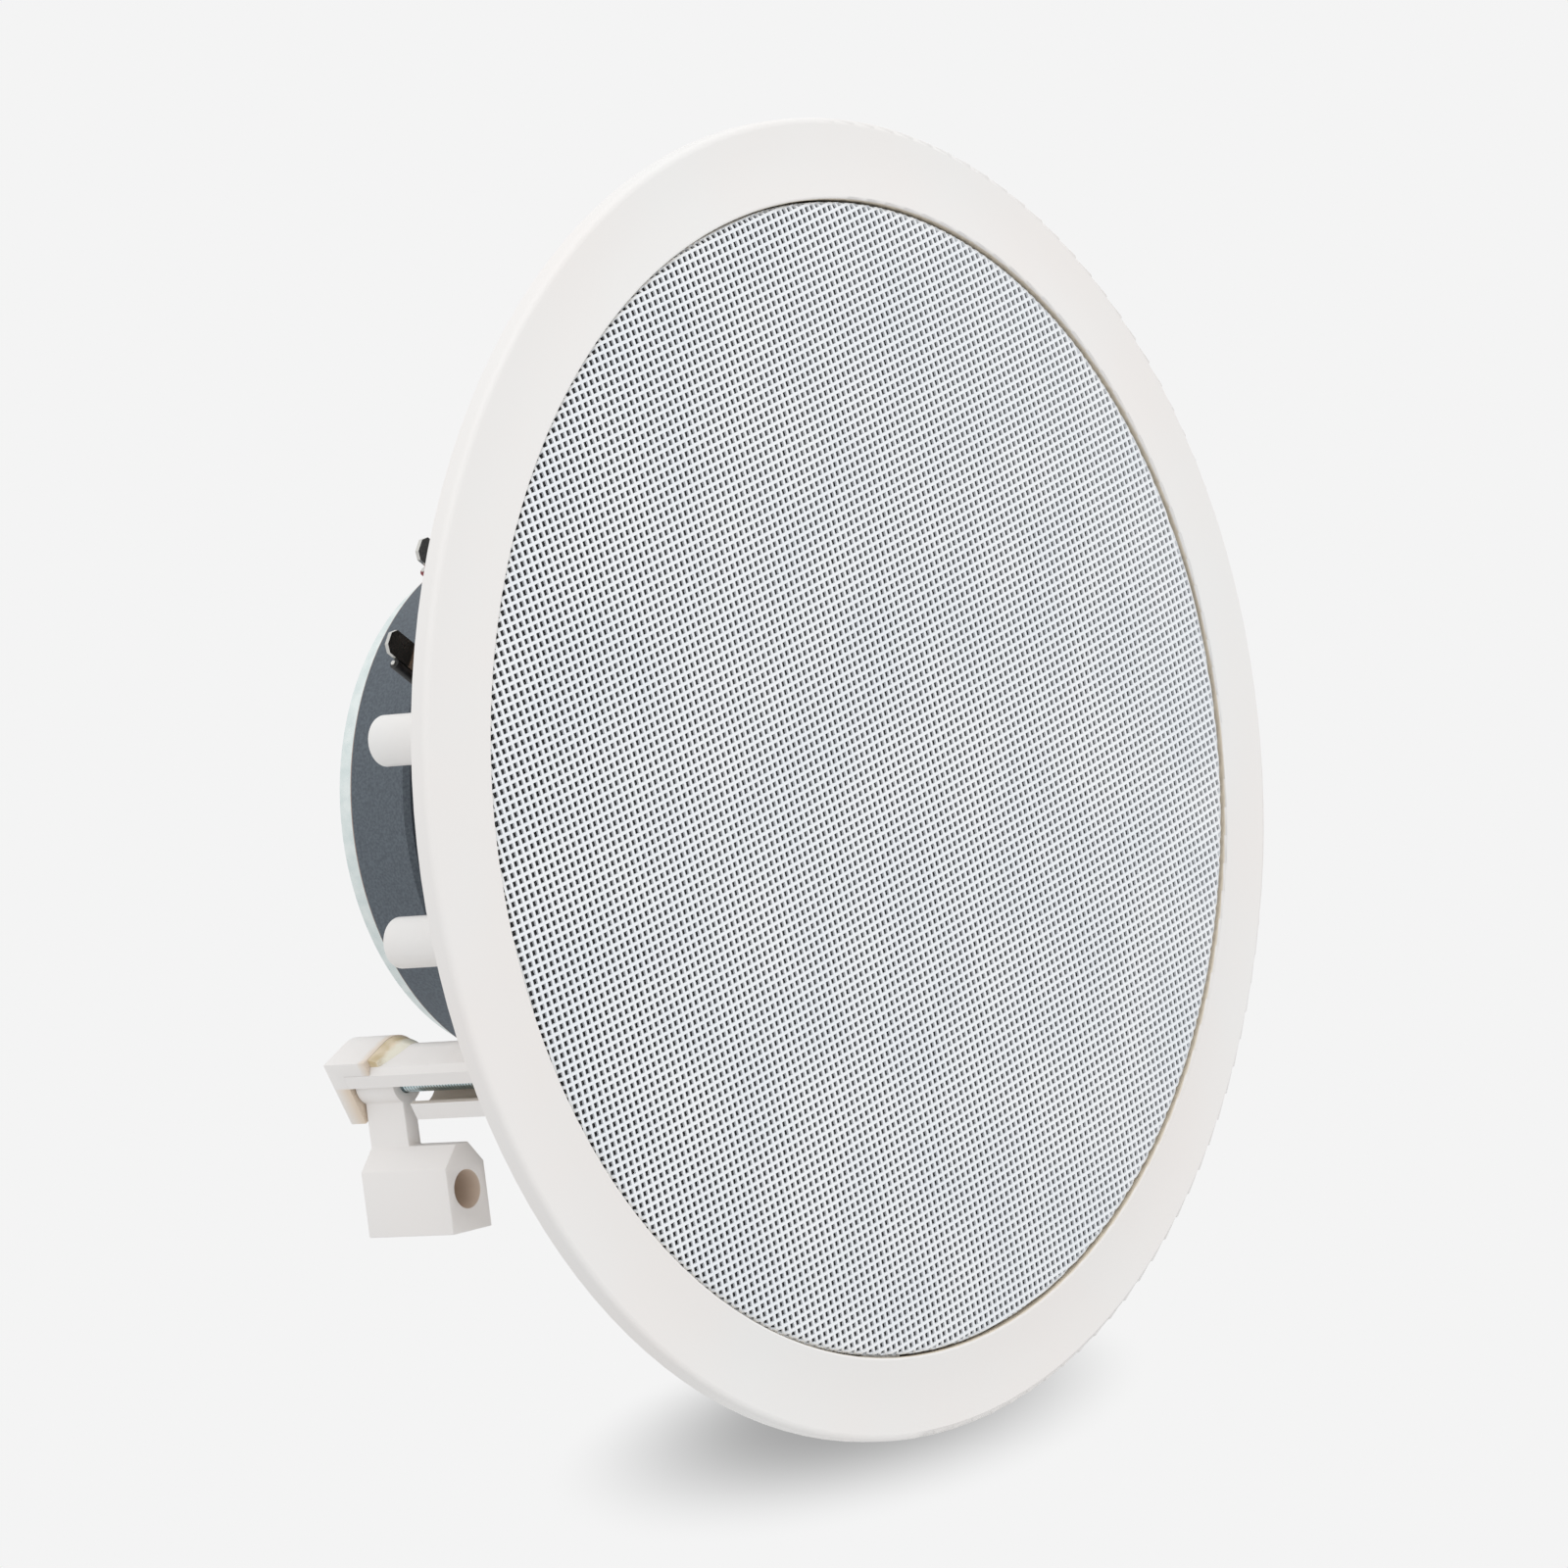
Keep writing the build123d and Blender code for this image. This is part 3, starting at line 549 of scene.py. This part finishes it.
def woven(name, low, high, thread):
    """Plain weave: two crossed sets of threads."""
    material, tree, shader = new_finish(name, roughness=0.85)
    weave = calculate(tree, "MULTIPLY", bands(tree, "X", thread), bands(tree, "Z", thread))
    paint(tree, shader, shade(tree, weave, low, high, start=0.1, end=0.8))
    shader.inputs["Sheen Weight"].default_value = 0.2
    relief(tree, shader, weave, depth=thread / 3, strength=0.8)
    return material


def wound(name, low, high, wire):
    """Enamelled wire wound turn by turn along the coil."""
    material, tree, shader = new_finish(name, roughness=0.3, metallic=1.0)
    turns = bands(tree, "Y", wire)
    paint(tree, shader, shade(tree, turns, low, high, start=0.2, end=0.8))
    relief(tree, shader, turns, depth=wire / 3, strength=0.8)
    return material


white_bezel = bezel_finish()
grille_coat = coated_white()
glue = glue_finish()
plate_zinc = zinc_plating("plate_zinc", low=(0.69, 0.765, 0.76), high=(0.79, 0.845, 0.835), size=0.0025)
screw_zinc = zinc_plating("screw_zinc", low=(0.5, 0.62, 0.68), high=(0.75, 0.84, 0.87), size=0.002)
enamel = mottled("black_enamel", low=(0.012, 0.012, 0.014), high=(0.03, 0.03, 0.033),
                 roughness=0.5, size=0.001, depth=0.00003)
ferrite = sintered_ferrite()
scrim_cloth = woven("scrim_cloth", low=(0.006, 0.006, 0.007), high=(0.03, 0.03, 0.032), thread=0.0006)
rubber = mottled("surround_rubber", low=(0.012, 0.012, 0.012), high=(0.025, 0.025, 0.025),
                 roughness=0.6, size=0.0012, depth=0.00003)
foam = mottled("gasket_foam", low=(0.015, 0.015, 0.015), high=(0.05, 0.05, 0.05),
               roughness=0.9, size=0.0006, depth=0.0002)
pulp = mottled("cone_paper_pulp", low=(0.03, 0.03, 0.032), high=(0.075, 0.073, 0.07),
               roughness=0.85, size=0.0009, depth=0.00008)
former_paper = mottled("former_paper", low=(0.36, 0.25, 0.14), high=(0.46, 0.33, 0.2),
                       roughness=0.7, size=0.002, depth=0.00002)
spider_cloth = woven("spider_cloth", low=(0.3, 0.2, 0.08), high=(0.55, 0.4, 0.19), thread=0.0005)
coil_copper = wound("coil_copper", low=(0.35, 0.14, 0.06), high=(0.8, 0.4, 0.22), wire=0.00025)
lead_copper = mottled("tinsel_braid", low=(0.42, 0.22, 0.12), high=(0.75, 0.45, 0.3),
                      roughness=0.35, size=0.0004, depth=0.0001, metallic=1.0)
board_resin = mottled("board_resin", low=(0.09, 0.045, 0.02), high=(0.17, 0.09, 0.045),
                      roughness=0.5, size=0.001, depth=0.00002)
blade_tin = mottled("blade_tin", low=(0.55, 0.55, 0.53), high=(0.66, 0.65, 0.62),
                    roughness=0.22, size=0.006, depth=0.000002, metallic=1.0)
sleeve_colours = {
    "positive": mottled("red_sleeve", low=(0.2, 0.008, 0.015), high=(0.3, 0.015, 0.025),
                        roughness=0.4, size=0.001, depth=0.00002),
    "negative": mottled("black_sleeve", low=(0.008, 0.008, 0.009), high=(0.02, 0.02, 0.021),
                        roughness=0.4, size=0.001, depth=0.00002),
}
shim_felt = mottled("shim_felt", low=(0.2, 0.19, 0.175), high=(0.36, 0.345, 0.32),
                    roughness=0.9, size=0.0006, depth=0.0001)

# Finishes of the pieces that are shown as built
finish_of = {
    "bezel": white_bezel,
    "grille_scrim": scrim_cloth,
    "basket": enamel,
    "front_plate": enamel,
    "driver_gasket": foam,
    "driver_screws": screw_zinc,
    "cone": pulp,
    "dust_cap": pulp,
    "voice_coil_former": former_paper,
    "voice_coil_winding": coil_copper,
    "magnet": ferrite,
    "back_plate": plate_zinc,
    "terminal_board": board_resin,
    "terminal_blade_positive": blade_tin,
    "terminal_blade_negative": blade_tin,
    "terminal_rivets": blade_tin,
}
for node, finish in finish_of.items():
    nodes[node].data.materials.clear()
    nodes[node].data.materials.append(finish)


# Mesh helpers
def make_piece(bm, name, finish, smooth=SMOOTH_ANGLE):
    """Object from a bmesh, with its finish, smooth up to an angle."""
    mesh = bpy.data.meshes.new(name)
    bm.to_mesh(mesh)
    bm.free()
    mesh.materials.append(finish)
    mesh.shade_smooth()
    mesh.set_sharp_from_angle(angle=smooth)
    piece = bpy.data.objects.new(name, mesh)
    bpy.context.scene.collection.objects.link(piece)
    return piece


def merged_copy(node):
    """The node's solid as a bmesh with its triangles joined."""
    bm = bmesh.new()
    bm.from_mesh(nodes[node].data)
    bmesh.ops.remove_doubles(bm, verts=bm.verts, dist=MERGE_DISTANCE)
    return bm


def thicken_back(bm, thickness):
    """Give an open sheet its thickness behind its front face."""
    if sum(face.normal.y for face in bm.faces) > 0:
        bmesh.ops.reverse_faces(bm, faces=bm.faces)
    bmesh.ops.solidify(bm, geom=bm.faces, thickness=thickness)


def cut_square(bm, depth, direction):
    """Cut away what lies past a depth, in that direction along Y, and close the cut."""
    everything = bm.verts[:] + bm.edges[:] + bm.faces[:]
    bmesh.ops.bisect_plane(bm, geom=everything, plane_co=(0, depth, 0), plane_no=(0, direction, 0),
                           clear_outer=True)
    cut_edges = [edge for edge in bm.edges if edge.is_boundary
                 and all(abs(vertex.co.y - depth) < MERGE_DISTANCE for vertex in edge.verts)]
    bmesh.ops.holes_fill(bm, edges=cut_edges)


# Grille: perforated sheet, domed and bent back at its edge
def crown(radius):
    """Depth of the sheet's outer face at a radius."""
    share = radius / GRILLE_RADIUS
    return GRILLE_APEX + GRILLE_CROWN_SQUARE * share ** 2 + GRILLE_CROWN_FOURTH * share ** 4


BEND_START = GRILLE_RADIUS - GRILLE_BEND
BEND_LENGTH = GRILLE_BEND * pi / 2
EDGE_LENGTH = GRILLE_EDGE_END - crown(BEND_START) - GRILLE_BEND
SHEET_REACH = BEND_START + BEND_LENGTH + EDGE_LENGTH


def formed(flat_radius):
    """Radius and depth on the formed sheet of a point of the flat sheet."""
    past = flat_radius - BEND_START
    if past <= 0:
        return flat_radius, crown(flat_radius)
    if past <= BEND_LENGTH:
        turn = past / GRILLE_BEND
        return BEND_START + GRILLE_BEND * sin(turn), crown(BEND_START) + GRILLE_BEND * (1 - cos(turn))
    return GRILLE_RADIUS, crown(BEND_START) + GRILLE_BEND + past - BEND_LENGTH


def lattice_line(line, shift):
    """Place of a line of the lattice: even lines begin a row of holes, odd lines end it."""
    middle = (line // 2 - HOLES_ACROSS // 2 + shift) * HOLE_PITCH
    return middle + (HOLE_SIZE / 2 if line % 2 else -HOLE_SIZE / 2)


def cut_away(face):
    """Whether a face of the flat lattice falls in a hole or past the sheet's edge."""
    middle = face.calc_center_median()
    in_hole = [abs((place / HOLE_PITCH - shift + 0.5) % 1 - 0.5) < HOLE_SIZE / HOLE_PITCH / 2
               for place, shift in zip(middle, LATTICE_SHIFT)]
    return all(in_hole) or middle.length > SHEET_REACH


def grille_half(name, first, last):
    """Half of the sheet, between two lines of the lattice, thickened inwards from its outer face."""
    columns = last - first
    bm = bmesh.new()
    bmesh.ops.create_grid(bm, x_segments=columns, y_segments=LAST_LINE, size=1)
    for vertex in bm.verts:
        column = first + round((vertex.co.x + 1) / 2 * columns)
        row = round((vertex.co.y + 1) / 2 * LAST_LINE)
        vertex.co = (lattice_line(column, LATTICE_SHIFT[0]), lattice_line(row, LATTICE_SHIFT[1]), 0)
    bmesh.ops.delete(bm, geom=[face for face in bm.faces if cut_away(face)], context="FACES")
    # Where two corners of the cut edge share one vertex it is parted, so that the thick sheet closes there
    pinched = [vertex for vertex in bm.verts if not vertex.is_manifold]
    for vertex in pinched:
        bmesh.utils.vert_separate(vertex, vertex.link_edges)
    bmesh.ops.rotate(bm, verts=bm.verts, cent=(0, 0, 0), matrix=Matrix.Rotation(LATTICE_TURN, 3, "Z"))
    for vertex in bm.verts:
        flat_radius = min(hypot(vertex.co.x, vertex.co.y), SHEET_REACH)
        heading = vertex.co.normalized()
        radius, depth = formed(flat_radius)
        vertex.co = (radius * heading.x, depth, radius * heading.y)
    bm.normal_update()
    thicken_back(bm, GRILLE_SHEET)
    half = make_piece(bm, name, grille_coat, GRILLE_SMOOTH_ANGLE)
    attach(half, HOUSING)
    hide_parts("grille")


def grille_shim():
    """Short felt strip in the gap between the sheet's edge and the recess."""
    bm = bmesh.new()
    corners = (
        (SHIM_INSIDE, SHIM_FRONT),
        (SHIM_OUTSIDE, SHIM_FRONT),
        (SHIM_OUTSIDE, SHIM_BACK),
        (SHIM_INSIDE, SHIM_BACK),
    )
    section = bm.faces.new([bm.verts.new((radius, depth, 0)) for radius, depth in corners])
    bmesh.ops.rotate(bm, verts=bm.verts, cent=(0, 0, 0), matrix=Matrix.Rotation(-SHIM_FROM, 3, "Y"))
    bmesh.ops.spin(bm, geom=[section], cent=(0, 0, 0), axis=(0, 1, 0), angle=-SHIM_TURN, steps=8)
    bmesh.ops.recalc_face_normals(bm, faces=bm.faces)
    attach(make_piece(bm, "grille_shim", shim_felt), HOUSING)


grille_half("grille_sheet_left", 0, MIDDLE_LINE)
grille_half("grille_sheet_right", MIDDLE_LINE, LAST_LINE)
grille_shim()


# Clamp screws: the head as built, with a rolled thread in place of the plain shank
def helical_thread(axis, tip):
    """Closed mesh of a helical thread from the screw's head to its tip, cut square at both ends."""
    turns = int((tip - SCREW_HEAD_BACK) / THREAD_PITCH) + THREAD_SPARE_TURNS
    start = SCREW_HEAD_BACK - THREAD_PITCH
    root = SCREW_RADIUS - THREAD_DEPTH
    crest_start, crest_end = THREAD_CREST
    ridge = ((root, 0), (SCREW_RADIUS, crest_start), (SCREW_RADIUS, crest_end), (root, 1))
    bm = bmesh.new()
    points = [bm.verts.new((axis.x + radius, start + rise * THREAD_PITCH, axis.z))
              for radius, rise in ridge]
    edges = [bm.edges.new(pair) for pair in zip(points, points[1:])]
    bmesh.ops.spin(bm, geom=points + edges, cent=axis, axis=(0, 1, 0), angle=2 * pi * turns,
                   steps=THREAD_STEPS * turns, dvec=(0, THREAD_PITCH / THREAD_STEPS, 0))
    bmesh.ops.remove_doubles(bm, verts=bm.verts, dist=THREAD_MERGE)
    cut_square(bm, SCREW_HEAD_BACK, -1)
    cut_square(bm, tip, 1)
    bmesh.ops.recalc_face_normals(bm, faces=bm.faces)
    thread = bpy.data.meshes.new("thread")
    bm.to_mesh(thread)
    bm.free()
    return thread


def threaded_screw(side, angle):
    """Clamp screw with a thread on its shank."""
    node = f"clamp_screw_{side}"
    thread = helical_thread(clamp_axis(angle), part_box(node)[1].y)
    bm = merged_copy(node)
    cut_square(bm, SCREW_HEAD_BACK + HEAD_OVERLAP, 1)
    bm.from_mesh(thread)
    bpy.data.meshes.remove(thread)
    screw = make_piece(bm, f"threaded_{node}", rolled_thread(side), CLAMP_SMOOTH_ANGLE)
    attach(screw, node)
    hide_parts(node)


# Clamp mouldings: as built, with their sharp edges eased
def eased_moulding(node, finish, body):
    """Copy of a moulding with small rounds on its sharp edges."""
    bm = merged_copy(node)
    bmesh.ops.dissolve_limit(bm, angle_limit=FLAT_ANGLE, verts=bm.verts, edges=bm.edges)
    sharp = [edge for edge in bm.edges if edge.calc_face_angle(0) > SHARP_ANGLE]
    bmesh.ops.bevel(bm, geom=sharp, offset=EDGE_EASING, offset_type="OFFSET", segments=2, profile=0.5,
                    affect="EDGES", material=-1, clamp_overlap=True)
    moulding = make_piece(bm, f"eased_{node}", finish, CLAMP_SMOOTH_ANGLE)
    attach(moulding, body)
    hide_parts(node)


# Glue along the front of each cap, where it was fixed to its column
def column_line(share):
    """Point and outward normal on the column's outline, from its stop-side corner round the back."""
    straight = COLUMN_CORNER - COLUMN_BACK_MIDDLE[0]
    reach = share * (straight + COLUMN_BACK_RADIUS * GLUE_ROUND_BACK)
    if reach < straight:
        return Vector((COLUMN_CORNER - reach, -COLUMN_STOP_SIDE)), Vector((0, -1))
    turn = (reach - straight) / COLUMN_BACK_RADIUS
    normal = Vector((-sin(turn), -cos(turn)))
    return Vector(COLUMN_BACK_MIDDLE) + normal * COLUMN_BACK_RADIUS, normal


def glue_section(share):
    """Heights and lengths of the bead's closed section at a share of its way round the column."""
    run = GLUE_RUN * sin(pi * share)
    return (
        (GLUE_HEIGHT, 0),
        (GLUE_HEIGHT * GLUE_SHOULDER, GLUE_LENGTH),
        (0, GLUE_LENGTH + run),
        (-EDGE_EASING, 0),
        (GLUE_HEIGHT, 0),
    )


def glue_fillet(side, angle):
    """Bead of glue that runs from the cap's hood down onto the column."""
    bm = bmesh.new()
    bmesh.ops.create_grid(bm, x_segments=GLUE_STEPS, y_segments=GLUE_SIDES, size=1)
    for vertex in bm.verts:
        share = (vertex.co.x + 1) / 2
        height, length = glue_section(share)[round((vertex.co.y + 1) / 2 * GLUE_SIDES)]
        point, normal = column_line(share)
        place = point + normal * height
        vertex.co = radial(angle) * (CLAMP_RADIUS + place.x) + tangent(angle) * place.y
        vertex.co.y = HOOD_FRONT - length
    bmesh.ops.remove_doubles(bm, verts=bm.verts, dist=MERGE_DISTANCE)
    bmesh.ops.holes_fill(bm, edges=[edge for edge in bm.edges if edge.is_boundary])
    bmesh.ops.recalc_face_normals(bm, faces=bm.faces)
    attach(make_piece(bm, f"cap_glue_{side}", glue), HOUSING)


for side, angle in CLAMPS.items():
    threaded_screw(side, angle)
    eased_moulding(f"clamp_dog_{side}", dog_finish(side), f"clamp_dog_{side}")
    eased_moulding(f"clamp_cap_{side}", cap_finish(side), HOUSING)
    glue_fillet(side, angle)


# Suspension: sectors between the fixed rim and the moving cone
def bending_ring(node, outline, sheet, finish, sectors):
    """Ring turned from an outline of radius and depth, as sectors split along their radial lines."""
    step = 2 * pi / sectors
    for sector in range(sectors):
        bm = bmesh.new()
        points = [bm.verts.new((radius, depth, 0)) for radius, depth in outline]
        edges = [bm.edges.new(pair) for pair in zip(points, points[1:])]
        heading = -sector * step
        first_edge = Matrix.Rotation(heading + step / 2, 3, "Y")
        bmesh.ops.rotate(bm, verts=points, cent=(0, 0, 0), matrix=first_edge)
        bmesh.ops.spin(bm, geom=points + edges, cent=(0, 0, 0), axis=(0, 1, 0), angle=-step,
                       steps=SECTOR_STEPS)
        bmesh.ops.recalc_face_normals(bm, faces=bm.faces)
        thicken_back(bm, sheet)
        piece = make_piece(bm, f"{node}_{sector + 1:02d}", finish)
        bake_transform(piece)
        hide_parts(node)


def surround():
    """Half roll of rubber from the cone's edge to the basket's rim."""
    lip_front = surround_high.y - SURROUND_SHEET
    roll_radius = lip_front - surround_low.y
    roll_middle = CONE_RADIUS + roll_radius
    turns = [pi * step / ROLL_STEPS for step in range(ROLL_STEPS + 1)]
    outline = [
        (CONE_RADIUS - CONE_LIP, lip_front),
        *[(roll_middle - roll_radius * cos(turn), lip_front - roll_radius * sin(turn)) for turn in turns],
        (surround_high.x, lip_front),
    ]
    bending_ring("surround", outline, SURROUND_SHEET, rubber, SURROUND_SECTORS)


def spider():
    """Corrugated cloth from the coil's former to the basket."""
    flat = spider_high.y - SPIDER_SHEET
    wave_height = flat - spider_low.y
    shares = [step / WAVE_STEPS for step in range(SPIDER_WAVES * WAVE_STEPS + 1)]
    outline = [
        (SPIDER_INSIDE, flat),
        *[(WAVE_START + share * WAVE_LENGTH, flat - wave_height * (1 - cos(2 * pi * share)) / 2)
          for share in shares],
        (spider_high.x, flat),
    ]
    bending_ring("spider", outline, SPIDER_SHEET, spider_cloth, SPIDER_SECTORS)


surround()
spider()


# Tinsel leads and terminal sleeves, along the radial line of the terminal strip
def strip_point(radius, side, depth):
    """Point beside the terminal strip's radial line."""
    across = tangent(TERMINAL_HEADING) * side
    return radial(TERMINAL_HEADING) * radius + across + Vector((0, depth, 0))


def tinsel_lead(pole):
    """Braided lead that bends between its terminal and the cone."""
    node = f"tinsel_lead_{pole}"
    lead = make_piece(merged_copy(node), f"braided_{node}", lead_copper)
    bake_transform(lead)
    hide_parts(node)


def rod(name, start, end, radius, finish):
    """Straight round rod between two points."""
    bm = bmesh.new()
    axis = end - start
    place = Matrix.Translation((start + end) / 2) @ axis.to_track_quat("Z", "Y").to_matrix().to_4x4()
    bmesh.ops.create_cone(bm, cap_ends=True, segments=24, radius1=radius, radius2=radius, depth=axis.length,
                          matrix=place)
    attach(make_piece(bm, name, finish), HOUSING)


def terminal_sleeve(pole, side):
    """Sleeve beside a spade blade, with its wire's end showing."""
    depth = BOARD_BACK + SLEEVE_RADIUS
    inner, outer, tip = [strip_point(reach, side + SLEEVE_OFFSET, depth)
                         for reach in (SLEEVE_FROM, SLEEVE_TO, SLEEVE_TO + SLEEVE_CORE_RADIUS)]
    rod(f"terminal_sleeve_{pole}", inner, outer, SLEEVE_RADIUS, sleeve_colours[pole])
    rod(f"sleeve_core_{pole}", outer, tip, SLEEVE_CORE_RADIUS, blade_tin)


for pole, side in BLADE_SIDES.items():
    tinsel_lead(pole)
    terminal_sleeve(pole, side)


# Floor, light and camera
def shadowed_floor():
    """Clear floor that carries only the soft shadow under the speaker."""
    material = bpy.data.materials.new("floor_shadow")
    material.use_nodes = True
    tree = material.node_tree
    tree.nodes.remove(tree.nodes["Principled BSDF"])
    level = cad_box[0].z
    patch = place_on(tree, stretch=(*SHADOW_REACH, 1), centre=(*SHADOW_CENTRE, level),
                     turn=(0, 0, SHADOW_TURN))
    light = value(tree, length_of(tree, patch), 1 - SHADOW_DEPTH, 1, SHADOW_CORE, 1)
    light.node.interpolation_type = "SMOOTHSTEP"
    clear = tree.nodes.new("ShaderNodeBsdfTransparent")
    tree.links.new(light, clear.inputs["Color"])
    tree.links.new(clear.outputs["BSDF"], tree.nodes["Material Output"].inputs["Surface"])
    bm = bmesh.new()
    bmesh.ops.create_circle(bm, cap_ends=True, radius=FLOOR_REACH, segments=64,
                            matrix=Matrix.Translation((0, 0, level)))
    mesh = bpy.data.meshes.new("floor")
    bm.to_mesh(mesh)
    bm.free()
    mesh.materials.append(material)
    floor = bpy.data.objects.new("floor", mesh)
    floor.visible_diffuse = False
    floor.visible_glossy = False
    floor.visible_shadow = False
    bpy.context.scene.collection.objects.link(floor)


def studio_light():
    """Plain backdrop, surroundings that light more from above, and one very soft key."""
    scene = bpy.context.scene
    scene.view_settings.view_transform = "Standard"
    world = bpy.data.worlds.new("studio")
    scene.world = world
    world.use_nodes = True
    tree = world.node_tree
    direction = tree.nodes.new("ShaderNodeTexCoord").outputs["Generated"]
    height = parts_of(tree, direction)["Z"]
    around = value(tree, height, LIGHT_BELOW, LIGHT_ABOVE, start=-1, end=1)
    seen = tree.nodes.new("ShaderNodeLightPath").outputs["Is Camera Ray"]
    backdrop = calculate(tree, "MULTIPLY", seen, BACKDROP)
    surroundings = calculate(tree, "MULTIPLY", calculate(tree, "SUBTRACT", 1, seen), around)
    light = calculate(tree, "ADD", backdrop, surroundings)
    tree.links.new(light, tree.nodes["Background"].inputs["Color"])
    lamp = bpy.data.lights.new("key", "SUN")
    lamp.energy = KEY_STRENGTH
    lamp.angle = KEY_SPREAD
    key = bpy.data.objects.new("key", lamp)
    key.rotation_mode = "QUATERNION"
    key.rotation_quaternion = KEY_FROM.to_track_quat("Z", "Y")
    scene.collection.objects.link(key)


def photo_camera():
    """Long lens at the photograph's viewing angle."""
    back = Vector((
        sin(CAMERA_AZIMUTH) * cos(CAMERA_ELEVATION),
        -cos(CAMERA_AZIMUTH) * cos(CAMERA_ELEVATION),
        sin(CAMERA_ELEVATION),
    ))
    level = Vector((cos(CAMERA_AZIMUTH), sin(CAMERA_AZIMUTH), 0))
    upright = back.cross(level)
    right = level * cos(CAMERA_ROLL) + upright * sin(CAMERA_ROLL)
    up = upright * cos(CAMERA_ROLL) - level * sin(CAMERA_ROLL)
    data = bpy.data.cameras.new("camera")
    data.sensor_width = SENSOR_WIDTH
    data.lens = CAMERA_LENS
    camera = bpy.data.objects.new("camera", data)
    turn = Matrix((right, up, back)).transposed().to_4x4()
    camera.matrix_world = Matrix.Translation(CAMERA_AIM + back * CAMERA_DISTANCE) @ turn
    bpy.context.scene.collection.objects.link(camera)
    bpy.context.scene.camera = camera


shadowed_floor()
studio_light()
photo_camera()
